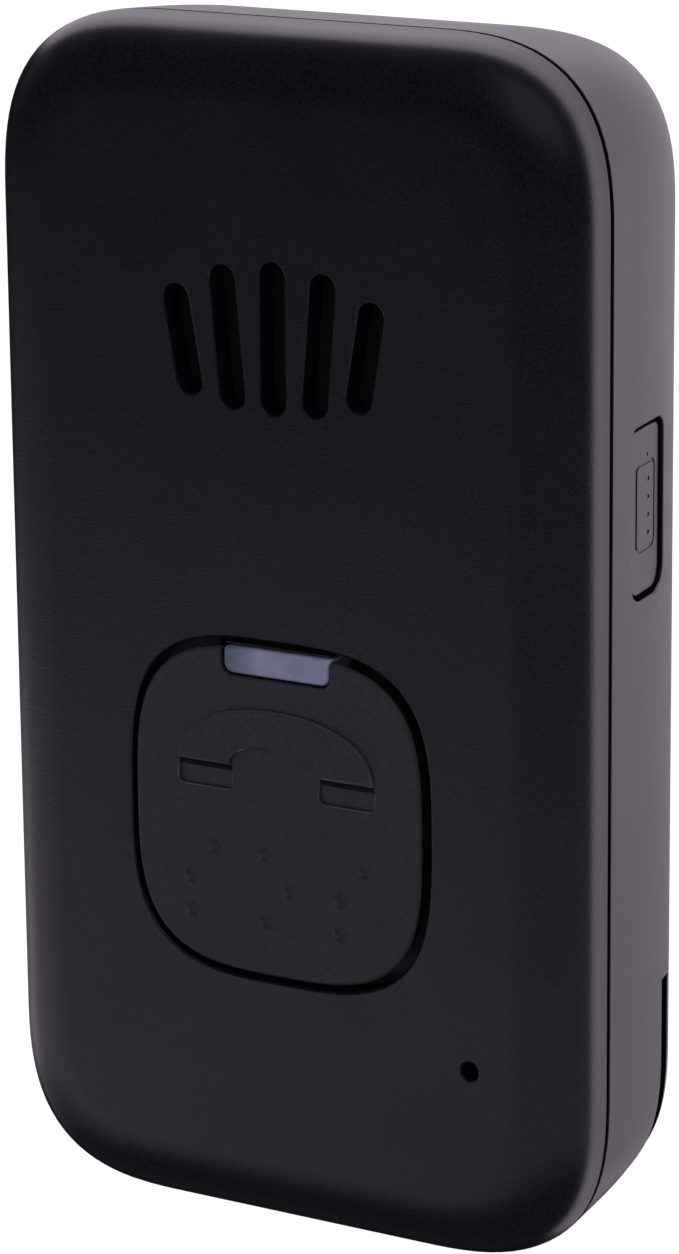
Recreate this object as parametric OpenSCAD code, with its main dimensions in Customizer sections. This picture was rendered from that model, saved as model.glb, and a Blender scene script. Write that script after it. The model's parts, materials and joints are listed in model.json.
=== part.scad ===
// Medical alert pendant with a call button, a speaker, a microphone and a removable battery.
// Every size is in millimetres. The pieces are drawn lying on the back face and then stood up:
// u runs to the right as seen from the front, v runs up, w runs from the back face to the front.

/* [Body] */
// Overall width
body_w = 46.6; // [42:0.2:56]
// Overall height
body_h = 85; // [77:0.5:98]
// Thickness from the back face to the front face
body_t = 17.1; // [16.6:0.1:20]
// Reach of each rounded corner along its sides
corner_r = 13.4; // [11:0.1:14]
// Power of the corner curve, where 2 is a plain circle
corner_power = 2.85; // [2:0.05:3.2]
// Depth from the front face to the parting groove
front_depth = 4.35; // [4:0.05:5]
// Inset of the soft front edge
front_edge = 5.5; // [4.5:0.1:6]
// Power of the soft front edge's curve, where 2 is an ellipse
edge_power = 2.35; // [2:0.05:2.8]
// Inset of the soft back edge
back_edge = 0.95; // [0.6:0.05:2]
// Length of the soft back edge up the side wall
back_edge_t = 9; // [2:0.1:10]
// Fillet round the rim of the back face
back_r = 0.8; // [0.4:0.05:1.2]
// How much each side wall leans in from the groove to the back
side_taper = 1; // [0.4:0.1:1.6]
// Wall thickness of both shells
wall_t = 1.8; // [1.6:0.1:2]
// Width of the parting groove
groove_w = 0.45; // [0.1:0.05:0.5]

/* [Shell joint] */
// Distance from the outer wall to the lip that closes the two shells
lip_inset = 1.1; // [0.9:0.05:1.2]
// Height of the lip above the parting plane
lip_h = 0.9; // [0.6:0.05:1.1]
// Clearance around the lip
lip_gap = 0.15; // [0.1:0.05:0.25]
// Height of the seal on the lip
seal_t = 0.5; // [0.3:0.05:0.7]
// Diameter of the case screws
screw_d = 2; // [1.6:0.1:2.4]
// Diameter of the screw heads
screw_head_d = 3.4; // [3:0.1:3.6]
// Height of the screw heads
screw_head_t = 1.3; // [1:0.1:1.8]
// Depth of the screw head seats below the back face
screw_seat = 5; // [4:0.1:6]
// Diameter of the screw bosses
boss_d = 5.2; // [4.8:0.1:5.6]
// Upper screws, distance in from the side
upper_screw_u = 7.2; // [6.9:0.1:7.7]
// Upper screws, distance below the top
upper_screw_v = 8.7; // [8:0.1:9.5]
// Lower screws, distance from the middle line
lower_screw_u = 9.5; // [8:0.1:11]
// Lower screws, distance above the bottom
lower_screw_v = 5.1; // [4.9:0.1:5.3]

/* [Speaker] */
// Number of speaker slots
slot_count = 5; // [3:2:7]
// Width of each slot
slot_w = 1.95; // [1:0.05:2.4]
// Length of the middle slot between its round ends
slot_l = 8.8; // [5:0.1:10]
// Angle between neighbouring slots
slot_step = 5; // [4:0.1:6]
// Radius of the fan that the slots follow
slot_fan_r = 41; // [34:0.5:50]
// Slots from the middle at which the length falls to nothing
slot_spread = 2.7; // [2.5:0.1:4.5]
// Height of the speaker above the middle
speaker_v = 21.5; // [21:0.1:22]
// Diameter of the speaker
speaker_d = 20; // [19:0.1:21]
// Depth of the speaker frame
speaker_t = 3.6; // [3.2:0.1:4]
// Wall of the speaker frame
frame_wall = 0.7; // [0.5:0.05:0.9]
// Diameter of the magnet
magnet_d = 9; // [7:0.1:10]
// Height of the magnet
magnet_t = 1.5; // [1:0.1:1.7]
// Thickness of the dust mesh
mesh_t = 0.2; // [0.1:0.05:0.4]
// Thickness of the speaker gasket
gasket_t = 0.6; // [0.4:0.05:0.8]
// Width of the gasket ring
gasket_w = 1.3; // [0.8:0.1:1.8]
// Depth of the diaphragm's seat below the rim of the frame
cone_seat = 1.1; // [1:0.05:1.3]
// Height of the diaphragm's dome
dome_h = 0.9; // [0.5:0.05:1]
// Height of the diaphragm's rolled edge
roll_h = 0.6; // [0.3:0.05:0.7]
// Thickness of the diaphragm
cone_t = 0.2; // [0.1:0.05:0.3]
// Clearance around the speaker in its ring wall
speaker_gap = 0.2; // [0.1:0.05:0.4]

/* [Call button] */
// Middle of the call button below the middle of the body
button_drop = 11.75; // [11.5:0.05:12.5]
// Width of the opening for the call button
open_w = 23.9; // [22:0.1:25]
// Height of the opening for the call button
open_h = 24.5; // [22:0.1:25.4]
// Power of the opening's curve, where 2 is an ellipse
open_power = 3.3; // [2.5:0.1:4]
// Gap all round the call button
button_gap = 0.5; // [0.3:0.05:0.8]
// Height of the button face above the front face
button_proud = 0.5; // [0:0.05:1]
// Round edge of the button
button_edge = 0.9; // [0.4:0.05:1.2]
// Thickness of the button's top
button_t = 1.6; // [1.2:0.05:1.7]
// Wall of the button's skirt
skirt_t = 1.2; // [0.8:0.1:1.6]
// Reach of the retaining flange past the opening
flange_reach = 0.9; // [0.6:0.05:1.2]
// Thickness of the retaining flanges
flange_t = 0.8; // [0.6:0.05:1]
// Play between a flange and the wall that stops it
flange_play = 0.4; // [0.3:0.05:0.6]
// Travel of the call button
button_travel = 0.4; // [0.2:0.05:0.6]
// Round edge of the opening
rim_r = 0.3; // [0.2:0.05:0.6]

/* [Status lens] */
// Width of the lens at its top edge
lens_w = 9.2; // [6:0.1:10]
// Narrowing of the lens at each lower corner
lens_taper = 0.9; // [0:0.05:1.2]
// Height of the lens bar
lens_h = 1.85; // [1.2:0.05:2.2]
// Gap between the lens and the edge of the opening above it
lens_top_gap = 0.6; // [0.4:0.05:0.9]
// Gap between the lens and the button's notch
lens_gap = 0.35; // [0.3:0.05:0.5]
// Depth of the lens face below the front face
lens_sunk = 0.35; // [0:0.05:0.6]
// Reach of the lens foot behind the front wall
lens_foot = 3; // [2.6:0.1:3.6]
// Diameter of each light guide
guide_d = 2; // [1.4:0.1:2.2]
// Distance of each light guide from the middle line
guide_u = 2.5; // [1.5:0.1:3]

/* [Microphone] */
// Sound hole, distance in from the right side
mic_u = 8.4; // [8.1:0.1:8.9]
// Drop from the sound hole to the bottom
mic_drop = 14.7; // [14.1:0.1:16]
// Diameter of the sound hole
mic_hole_d = 1.4; // [0.8:0.1:2]
// Diameter of the microphone capsule
mic_d = 4; // [3:0.1:4.2]
// Height of the microphone capsule
mic_t = 2.2; // [1.5:0.1:2.6]
// Wall of the rubber boot
boot_wall = 0.6; // [0.4:0.05:0.8]

/* [Side button] */
// Height of the side button above the middle
side_v = 10.1; // [10:0.1:10.6]
// Middle of the side button in front of the back face
side_w = 6.35; // [6.2:0.05:6.5]
// Length of the side button
side_len = 11.4; // [8:0.1:11.6]
// Width of the side button
side_wide = 5.4; // [4.2:0.1:5.6]
// Round corners of the side button
side_r = 1.2; // [0.8:0.1:1.6]
// Gap all round the side button
side_gap = 0.3; // [0.2:0.05:0.4]
// Depth of the side button below the side wall
side_sunk = 0.27; // [0:0.01:0.5]
// Length of the raised pad
pad_len = 5.7; // [5:0.1:7]
// Width of the raised pad
pad_wide = 3.1; // [1.8:0.1:3.4]
// Height of the raised pad
pad_h = 0.15; // [0.05:0.05:0.25]
// Round corners of the raised pad
pad_r = 0.45; // [0.2:0.05:0.8]
// Number of grip notches in the pad
notch_count = 4; // [2:1:4]
// Spacing of the grip notches
notch_pitch = 1.25; // [1:0.05:1.3]
// Travel of the side button
side_travel = 0.35; // [0.2:0.05:0.5]

/* [Battery and door] */
// Width of the battery pack
batt_w = 34; // [30:0.1:34.6]
// Height of the battery pack
batt_h = 33.5; // [28:0.1:33.6]
// Thickness of the battery pack
batt_t = 5.2; // [4.6:0.05:5.4]
// Drop from the battery pack to the bottom
batt_drop = 7.9; // [7.75:0.05:8.15]
// Clearance round the battery pack
batt_gap = 0.2; // [0.1:0.05:0.3]
// Thickness of the battery door
door_t = 1.3; // [1:0.05:1.5]
// Width of the upper part of the door
door_w = 37.6; // [36.6:0.1:38.4]
// Reach of the door past the top of the battery pack
door_top = 3.7; // [3.5:0.05:4.1]
// Height of the full-width lower part of the door, from the bottom edge
door_cap = 18; // [14:0.1:22]
// Round corners of the door's upper part and of the battery pack
door_r = 2; // [1:0.1:3]
// Gap round the door
door_gap = 0.2; // [0.15:0.05:0.35]
// Width of the nail slot in front of the door's lower part
nail_w = 1.2; // [0.6:0.05:1.3]
// Distance from the outer wall to the inner end of the nail slot
nail_in = 3; // [2.6:0.1:3.4]
// Thickness of the seat under the door
seat_t = 1.5; // [1.2:0.1:1.8]
// Thickness of the walls and floor of the battery bay
bay_wall = 0.9; // [0.8:0.05:1.1]
// Width of each door tab
tab_w = 6; // [4:0.1:7]
// Thickness of each door tab
tab_t = 1; // [0.7:0.05:1.1]
// Distance of the upper door tabs from the middle line
tab_u = 11; // [8:0.1:13]

/* [Lanyard pocket] */
// Lanyard bar, distance below the top
bar_v = 11; // [10.5:0.1:11.5]
// Diameter of the lanyard bar
bar_d = 1.8; // [1.4:0.05:2]
// Middle of the bar in front of the back face
bar_w = 1.6; // [1.4:0.05:2]
// Width of the pocket
pocket_w = 14; // [10:0.1:16]
// Height of the pocket
pocket_h = 10.4; // [10:0.1:10.8]
// Depth of the pocket
pocket_d = 5.2; // [4.6:0.1:5.6]
// Wall round the pocket
pocket_wall = 1.3; // [1:0.05:1.5]
// Round corners of the pocket
pocket_r = 1.2; // [0.8:0.1:2]
// Clearance round the bar in its two holes
bar_fit = 0.05; // [0.02:0.01:0.1]

/* [Circuit board] */
// Thickness of the circuit board
board_t = 1; // [0.8:0.1:1.2]
// Gap between the battery bay and the board
board_gap = 0.5; // [0.4:0.05:0.6]
// Gap between the board's edge and the shell
board_edge = 0.5; // [0.4:0.05:0.8]
// Width and depth of the call switch
switch_side = 6.2; // [5:0.1:7]
// Height of the call switch body
switch_t = 3.4; // [2.6:0.1:3.6]
// Diameter of the call switch plunger
plunger_d = 3.4; // [2.4:0.1:3.8]
// Diameter of the board screws
board_screw_d = 1.6; // [1.2:0.1:1.8]
// Diameter of the board posts
post_d = 4; // [3.6:0.1:4.4]
// Board screws, distance in from the side
post_u = 6.1; // [5.9:0.1:6.7]
// Upper board screws, distance below the top
post_v = 19.5; // [18.5:0.1:20.5]

/* [Hidden] */

$fn = 48;
// Steps along one rounded corner and along one soft edge
corner_steps = 12;
edge_steps = 6;
// Overrun of a cut past the face that it opens
cut = 1;
// Least step of a cut that ends on a face
hair = 0.01;
// Least radius of the body's corners
least_r = 1;
// Small sinking of a rib, post or boss into the wall that carries it
root = 0.3;
// Clearance between pieces that only need to clear each other
clear = 0.4;

// Ends of the body from its middle
side_u = body_w / 2;
top_v = body_h / 2;
bottom_v = -body_h / 2;

// Levels up from the back face
part_w = body_t - front_depth;
front_in = body_t - wall_t;
rear_floor = door_t + seat_t;
batt_back = door_t + batt_gap;
batt_front = batt_back + batt_t;
bay_floor = batt_front + batt_gap;
bay_top = bay_floor + bay_wall;
board_back = bay_top + board_gap;
board_front = board_back + board_t;
boss_split = board_front + clear;
lip_top = part_w + lip_h;
seal_top = lip_top + seal_t;
pocket_floor = pocket_d + pocket_wall;
// Fillet along the foot of the rear shell's hollow
hollow_r = 0.7;

// Height of the lanyard bar above the middle
hang_v = top_v - bar_v;

// Levels of the call button and its switch
button_v = -button_drop;
button_face = body_t + button_proud;
button_under = button_face - button_t;
flange_top = front_in - flange_play;
flange_low = flange_top - flange_t;
plunger_drop = 1;
switch_top = board_front + switch_t;
plunger_top = switch_top + button_travel + clear;
plunger_low = switch_top - plunger_drop;
stem_d = 4.4;
// Crossed ribs under the button's top, which stop short of the lens
stiff_t = 0.8;
stiff_h = 1;
stiff_l = open_h - 2 * (lens_top_gap + lens_h + lens_gap + clear);

// Lens levels, from the top of the opening
opening_top = button_v + open_h / 2;
lens_v1 = opening_top - lens_top_gap;
lens_v0 = lens_v1 - lens_h;
lens_foot_t = 1;
lens_low = front_in - lens_foot_t;
lens_face = body_t - lens_sunk;
lens_foot_side = 0.8;
lens_foot_w = lens_w + 2 * lens_foot_side;
// Ledge of the front shell over the lens foot, short of the lens
ledge_gap = 0.2;
ledge_h = lens_top_gap - ledge_gap;
ledge_t = 0.7;
guide_v = opening_top + lens_foot - guide_d / 2;
led_t = 0.7;
led_side = 1.6;

// Battery bay
batt_v0 = bottom_v + batt_drop;
batt_v1 = batt_v0 + batt_h;
bay_half = batt_w / 2 + batt_gap;
bay_v0 = batt_v0 - batt_gap;
bay_v1 = batt_v1 + batt_gap;
bay_end_v = bay_v1 + bay_wall;
door_v1 = batt_v1 + door_top;
door_cap_v = bottom_v + door_cap;
tab_reach = 0.8;
tab_h = seat_t + tab_reach;
tab_fit = 0.3;
upper_tab_v = (bay_end_v + door_v1) / 2;
lower_tab_v = bottom_v + side_taper + nail_in + tab_t;

// Battery contacts: a block with three spring leaves over three pads
contact_in = 4.5;
contact_v = batt_v1 - contact_in;
contact_pitch = 2.5;
contact_block = [9, 3.4];
contact_lift = 0.3;
contact_pad = [1.75, 2.4];
pad_sunk = 0.15;
leaf_w = 1;
leaf_d = 1.9;
leaf_t = 0.3;
leaf_sink = 0.4;

// Side button levels along u, with a face that leans as the wall does
side_low_u = side_u - rear_inset(side_w - side_wide / 2);
side_high_u = side_u - rear_inset(side_w + side_wide / 2);
side_lean = atan((side_high_u - side_low_u) / side_wide);
side_face_u = (side_low_u + side_high_u) / 2 - side_sunk;
side_flange = 0.5;
side_flange_out = side_u - rear_inset(side_w - side_wide / 2 - side_flange) - wall_t - flange_play;
side_flange_in = side_flange_out - flange_t;
side_switch_t = 2 * (board_back - side_w);
side_switch_u = 3.5;
side_switch_v = 6;
side_plunger = 1.6;
side_plunger_in = 0.8;
side_switch_face = side_flange_in - side_travel - clear - side_plunger / 2;
side_tip_u = side_switch_face + side_travel + clear;
side_notch_u = side_switch_face + root;
notch_t = 0.5;
notch_len = 1.3;
notch_r = 0.2;
notch_d = 0.3;

// Speaker levels, behind the front wall
mesh_back = front_in - mesh_t;
gasket_back = mesh_back - gasket_t;
speaker_back = gasket_back - speaker_t;
frame_floor_t = 0.6;
frame_floor = speaker_back + frame_floor_t;
vent_count = 6;
vent_d = 2.2;
speaker_ring_t = 0.9;
speaker_ring_h = 1.6;
speaker_ring_low = gasket_back - speaker_ring_h;
fan_v = speaker_v - slot_fan_r;
// Least share of a slot's length that the fan leaves
slot_least = 0.05;
coil_gap = 0.3;
coil_t = 0.3;
coil_lift = 0.5;
coil_r = magnet_d / 2 + coil_gap + coil_t;
cone_rim = speaker_d / 2 - frame_wall;
speaker_pad = [1.2, 2.4];
speaker_pad_u = 6.5;
speaker_pad_drop = 4.5;

// Microphone
mic_point = [side_u - mic_u, bottom_v + mic_drop];
mic_pin_d = 0.5;

// Case screws at the four bosses
screw_points = [for (x = [1, -1]) each [[x * (side_u - upper_screw_u), top_v - upper_screw_v],
    [x * lower_screw_u, bottom_v + lower_screw_v]]];
screw_tip = 1;
screw_end = front_in - screw_tip;
screw_fit = 0.1;
screw_spare = 0.2;
cross_l = 2;
cross_t = 0.6;

// Board screws, two above and one on the left below them
post_side = side_u - post_u;
low_post_rise = 6.5;
post_points = [[post_side, top_v - post_v], [-post_side, top_v - post_v],
    [-post_side, bay_end_v + low_post_rise]];
post_depth = 4;
board_head_d = 3.2;
board_head_t = 0.9;

// Points at which the front shell holds the board down
clamp_in = 6.3;
clamp_drop = 1;
low_clamp_in = 7.8;
low_clamp_rise = 13.5;
clamp_points = [[side_u - clamp_in, -clamp_drop], [-side_u + clamp_in, -clamp_drop],
    [-side_u + low_clamp_in, bottom_v + low_clamp_rise]];
clamp_d = 3;

// Parts on the back of the board, between the battery bay and the lanyard pocket: width, height, thickness
can_size = [14, 12, 1.9];
can_wall = 0.3;
can_in = 2.7;
radio_size = [9, 8, 1.1];
processor_size = [7, 7, 0.9];
processor_gap = 2.5;
processor_rise = 5;
can_point = [can_size.x / 2 + can_in + post_d / 2 - post_side,
    (bay_end_v + hang_v - pocket_h / 2 - pocket_wall) / 2];
processor_point = can_point + [(can_size.x + processor_size.x) / 2 + processor_gap, processor_rise];

// Antenna strip on the front of the board
antenna_end = 1.5;
antenna_w = 2 * (side_u - upper_screw_u - boss_d / 2 - antenna_end);
antenna_h = 3;
antenna_t = 0.3;
antenna_drop = 6.9;
antenna_v = top_v - antenna_drop;
antenna_rise = 1.2;
foot_h = 1.8;

black_plastic = "#2a2a2d";
button_plastic = "#2f2f33";
lens_tint = "#7b7c96";
steel = "#b9bcc0";
green_board = "#2d6b46";
rubber = "#1b1b1d";
gold = "#c9a44c";

// Outlines

// One corner curve from the end of one side to the end of the next
function corner(r) = [for (i = [0:corner_steps]) let (t = 90 * i / corner_steps)
    [r * pow(cos(t), 2 / corner_power), r * pow(sin(t), 2 / corner_power)]];

// A point turned by whole quarters
function quarter(p, q) = q == 0 ? p : quarter([-p.y, p.x], q - 1);

// The body's outline, moved in all round
function body_outline(inset) = let (
        r = max(corner_r - inset, least_r),
        a = side_u - inset - r,
        b = top_v - inset - r,
        middles = [[a, b], [-a, b], [-a, -b], [a, -b]])
    [for (q = [0:3]) for (p = corner(r)) middles[q] + quarter(p, q)];

// The soft square of the call button, moved in all round
function soft_square(inset) = let (
        a = open_w / 2 - inset,
        b = open_h / 2 - inset,
        n = 4 * corner_steps)
    [for (i = [0:n - 1]) let (t = 360 * i / n)
        [a * sign(cos(t)) * pow(abs(cos(t)), 2 / open_power),
         b * sign(sin(t)) * pow(abs(sin(t)), 2 / open_power) + button_v]];

// An outline set at one level
function ring(outline, w) = [for (p = outline) [p.x, p.y, w]];

// A closed skin through rings that have the same number of points
module skin(rings) {
    n = len(rings[0]);
    top = (len(rings) - 1) * n;
    sides = [for (j = [0:len(rings) - 2]) for (i = [0:n - 1]) let (
            a = j * n + i,
            b = j * n + (i + 1) % n)
        each [[a, a + n, b + n], [a, b + n, b]]];
    ends = [[for (i = [0:n - 1]) i], [for (i = [n - 1:-1:0]) top + i]];
    polyhedron([for (r = rings) each r], concat(sides, ends));
}

// A straight block on an outline
module slab(outline, w0, w1) translate([0, 0, w0]) linear_extrude(w1 - w0) polygon(outline);

// A rectangle with round corners
module soft_rect(w, h, r) {
    square([w - 2 * r, h], center = true);
    square([w, h - 2 * r], center = true);
    for (x = [-1, 1], y = [-1, 1]) translate([x * (w / 2 - r), y * (h / 2 - r)]) circle(r);
}

// A box given by its middle, its width and height and its two levels
module block(middle, w, h, w0, w1)
    translate([middle.x - w / 2, middle.y - h / 2, w0]) cube([w, h, w1 - w0]);

// A rod along w
module rod(middle, d, w0, w1) translate([middle.x, middle.y, w0]) cylinder(d = d, h = w1 - w0);

// A shape drawn in v and w, drawn out along u
module along_u(u0, u1) translate([u0, 0, 0]) rotate([90, 0, 90]) linear_extrude(u1 - u0) children();

// Stands a piece up with the lanyard bar at the origin
module stand() translate([0, bar_w, -hang_v]) rotate([90, 0, 0]) children();

// Shells

// Rounded front of the body, from the parting groove to the front face
function front_rings() = concat(
    [ring(body_outline(0), part_w + groove_w / 2)],
    [for (i = [1:edge_steps]) let (t = 90 * i / edge_steps)
        ring(body_outline(front_edge * (1 - pow(cos(t), 2 / edge_power))),
            part_w + front_depth * pow(sin(t), 2 / edge_power))]);

// Hollow behind the front wall
function front_hollow() = concat(
    [ring(body_outline(wall_t), part_w - cut)],
    [for (i = [0:3]) let (t = 30 * i)
        ring(body_outline(wall_t + (front_edge - wall_t) * (1 - cos(t))),
            part_w + (front_in - part_w) * sin(t))]);

// Share of a soft edge that is left at a level
function soft_share(w, reach) = w < reach ? 1 - sqrt(1 - pow(1 - w / reach, 2)) : 0;

// Inset of the rear wall at a level: its lean, its soft edge and the fillet at the back
function rear_inset(w) = side_taper * (1 - w / part_w) + back_edge * soft_share(w, back_edge_t)
    + back_r * soft_share(w, back_r);

// Levels of the rear wall, close together along the fillet
function rear_levels() = concat(
    [for (i = [0:3]) back_r * (1 - cos(30 * i))],
    [for (i = [1:edge_steps]) back_r + (back_edge_t - back_r) * (1 - cos(90 * i / edge_steps))],
    [part_w - groove_w / 2]);

// Rounded back of the body, from the back face to the parting groove
function rear_rings() = [for (w = rear_levels()) ring(body_outline(rear_inset(w)), w)];

// Hollow of the rear shell above a floor
function rear_hollow(floor_w) = let (foot = floor_w + hollow_r) concat(
    [ring(body_outline(rear_inset(floor_w) + wall_t + hollow_r), floor_w)],
    [for (w = [foot, (foot + back_edge_t) / 2, back_edge_t]) ring(body_outline(rear_inset(w) + wall_t), w)],
    [for (w = [part_w, seal_top + cut]) ring(body_outline(wall_t), w)]);

// One speaker slot, counted from the middle one
module speaker_slot(i) {
    reach = slot_l * sqrt(max(1 - pow(i / slot_spread, 2), slot_least));
    translate([0, fan_v]) rotate(-slot_step * i) translate([0, slot_fan_r]) {
        square([slot_w, reach], center = true);
        for (y = [-1, 1]) translate([0, y * reach / 2]) circle(d = slot_w);
    }
}

// Rounded edge of the opening for the call button
module opening_rim() skin([for (i = [0:3]) let (t = 30 * i)
    ring(soft_square(-rim_r * (1 - cos(t))), body_t - rim_r * (1 - sin(t)) + (i == 3 ? hair : 0))]);

// Front shell before the ledge for the lens is added
module pierced_front() difference() {
    union() {
        difference() {
            skin(front_rings());
            skin(front_hollow());
            slab(body_outline(lip_inset - lip_gap), part_w - cut, seal_top);
        }
        translate([0, 0, speaker_ring_low]) linear_extrude(front_in + root - speaker_ring_low)
            translate([0, speaker_v]) difference() {
                circle(d = speaker_d + 2 * speaker_gap + 2 * speaker_ring_t);
                circle(d = speaker_d + 2 * speaker_gap);
            }
        for (p = screw_points) rod(p, boss_d, boss_split, front_in + root);
        for (p = clamp_points) rod(p, clamp_d, board_front, front_in + root);
    }
    translate([0, 0, front_in - cut]) linear_extrude(wall_t + 2 * cut)
        for (i = [0:slot_count - 1]) speaker_slot(i - (slot_count - 1) / 2);
    slab(soft_square(0), front_in - cut, body_t + cut);
    opening_rim();
    rod(mic_point, mic_hole_d, front_in - cut, body_t + cut);
    for (p = screw_points) rod(p, screw_d + screw_fit, boss_split - cut, screw_end + screw_spare);
}

module front_shell() color(black_plastic) stand() {
    pierced_front();
    block([0, opening_top + (root - ledge_h) / 2], lens_w, ledge_h + root, front_in, front_in + ledge_t);
}

// Seats, walls and bosses inside the rear shell
module rear_inside() {
    block([0, (bay_v0 + bay_v1) / 2], 2 * (bay_half + bay_wall), bay_v1 - bay_v0 + 2 * bay_wall,
        rear_floor - root, bay_top);
    block([0, hang_v], pocket_w + 2 * pocket_wall, pocket_h + 2 * pocket_wall, wall_t - root, pocket_floor);
    for (p = screw_points) rod(p, boss_d, wall_t - root, boss_split);
    for (p = post_points) rod(p, post_d, wall_t - root, board_back);
}

// Everything cut out of the back for the door and its nail slot
module door_seat() {
    translate([0, 0, -cut]) linear_extrude(door_t + cut)
        translate([0, (door_cap_v + door_v1) / 2])
            soft_rect(door_w + 2 * door_gap, door_v1 - door_cap_v + 2 * door_gap, door_r + door_gap);
    difference() {
        block([0, bottom_v], body_w + 2 * cut, 2 * (door_cap + door_gap), -cut, door_t + nail_w);
        slab(body_outline(nail_in), door_t, body_t);
    }
    for (p = tab_points())
        block(p, tab_w + 2 * tab_fit, tab_t + 2 * tab_fit, -cut, rear_floor + cut);
}

// Middles of the door's tabs
function tab_points() = [[0, lower_tab_v], [tab_u, upper_tab_v], [-tab_u, upper_tab_v]];

module rear_shell() color(black_plastic) stand() difference() {
    union() {
        difference() {
            union() {
                skin(rear_rings());
                slab(body_outline(lip_inset), part_w - cut, lip_top);
            }
            skin(rear_hollow(rear_floor));
            intersection() {
                skin(rear_hollow(wall_t));
                block([0, top_v], body_w, 2 * (top_v - door_v1 - seat_t + clear), 0, body_t);
            }
        }
        rear_inside();
    }
    block([0, (bay_v0 + bay_v1) / 2], 2 * bay_half, bay_v1 - bay_v0, -cut, bay_floor);
    block([0, contact_v], contact_block.x + 2 * clear, contact_block.y + 2 * clear, bay_floor - cut,
        bay_top + cut);
    door_seat();
    translate([0, hang_v, -cut]) linear_extrude(pocket_d + cut) soft_rect(pocket_w, pocket_h, pocket_r);
    translate([0, hang_v, bar_w]) rotate([0, 90, 0])
        cylinder(d = bar_d + 2 * bar_fit, h = pocket_w + 2 * pocket_wall - 2 * root, center = true);
    for (p = screw_points) {
        rod(p, screw_head_d + clear, -cut, screw_seat);
        rod(p, screw_d + 2 * screw_fit, screw_seat - cut, boss_split + cut);
    }
    for (p = post_points)
        rod(p, board_screw_d + screw_fit, board_back - post_depth - screw_fit, board_back + cut);
    along_u(side_flange_in, side_u + cut) translate([side_v, side_w])
        soft_rect(side_len + 2 * side_gap, side_wide + 2 * side_gap, side_r + side_gap);
}

module shell_seal() color(rubber) stand() difference() {
    slab(body_outline(lip_inset), lip_top, seal_top);
    slab(body_outline(wall_t), lip_top - cut, seal_top + cut);
}

module case_screws() color(steel) stand() for (p = screw_points) difference() {
    union() {
        rod(p, screw_d, screw_seat - screw_head_t, screw_end);
        rod(p, screw_head_d, screw_seat - screw_head_t, screw_seat);
    }
    for (turn = [0, 90]) translate([p.x, p.y, screw_seat - screw_head_t]) rotate(turn)
        cube([cross_l, cross_t, screw_head_t], center = true);
}

module lanyard_bar() color(steel) stand() translate([0, hang_v, bar_w]) rotate([0, 90, 0])
    cylinder(d = bar_d, h = pocket_w + 2 * pocket_wall - 2 * root - 2 * bar_fit, center = true);

// Battery

module battery_door() color(black_plastic) stand() {
    intersection() {
        skin(rear_rings());
        union() {
            block([0, bottom_v], body_w, 2 * door_cap, -cut, door_t);
            translate([0, 0, -cut]) linear_extrude(door_t + cut) translate([0, (door_cap_v + door_v1) / 2])
                soft_rect(door_w, door_v1 - door_cap_v, door_r);
        }
    }
    for (p = tab_points()) block(p, tab_w, tab_t, door_t - root, door_t + tab_h);
}

module battery_pack() color("#3c4650") stand() difference() {
    translate([0, (batt_v0 + batt_v1) / 2, batt_back]) linear_extrude(batt_t)
        soft_rect(batt_w, batt_h, door_r);
    for (i = [-1:1])
        block([i * contact_pitch, contact_v], contact_pad.x, contact_pad.y, batt_front - pad_sunk,
            batt_front + cut);
}

module battery_contacts() color(gold) stand() {
    block([0, contact_v], contact_block.x, contact_block.y, bay_floor + contact_lift, board_back);
    for (i = [-1:1]) translate([i * contact_pitch, contact_v, bay_floor + contact_lift]) rotate([90, 0, 90])
        linear_extrude(leaf_w, center = true) translate([0, leaf_sink]) difference() {
            circle(d = leaf_d);
            circle(d = leaf_d - 2 * leaf_t);
            translate([-leaf_d, 0]) square([2 * leaf_d, leaf_d]);
        }
}

// Call button

module call_button() color(button_plastic) stand() {
    difference() {
        union() {
            skin(concat([ring(soft_square(button_gap), flange_low)],
                [for (i = [0:edge_steps]) let (t = 90 * i / edge_steps)
                    ring(soft_square(button_gap + button_edge * (1 - cos(t))),
                        button_face - button_edge * (1 - sin(t)))]));
            slab(soft_square(-flange_reach), flange_low, flange_top);
        }
        slab(soft_square(button_gap + skirt_t), flange_low - cut, button_under);
        translate([0, 0, flange_low]) linear_extrude(button_face) offset(delta = lens_gap) lens_bar();
        block([0, lens_v1], lens_foot_w + 2 * clear, 2 * (lens_h + lens_gap), flange_low - cut,
            front_in + button_travel + clear);
    }
    rod([0, button_v], stem_d, plunger_top, button_under + root);
    for (turn = [0, 90]) translate([0, button_v, button_under + (root - stiff_h) / 2]) rotate(turn)
        cube([stiff_l, stiff_t, stiff_h + root], center = true);
}

module call_switch() color("#3a3a3c") stand() difference() {
    block([0, button_v], switch_side, switch_side, board_front, switch_top);
    rod([0, button_v], plunger_d + clear, plunger_low - button_travel - clear, switch_top + cut);
}

module call_switch_plunger() color("#8c2f2b") stand()
    rod([0, button_v], plunger_d, plunger_low, plunger_top);

// Side button

// Sets children on the side button's leaning face, with x out of the face
module on_side_face() translate([side_face_u, side_v, side_w]) rotate([0, side_lean, 0]) children();

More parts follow.
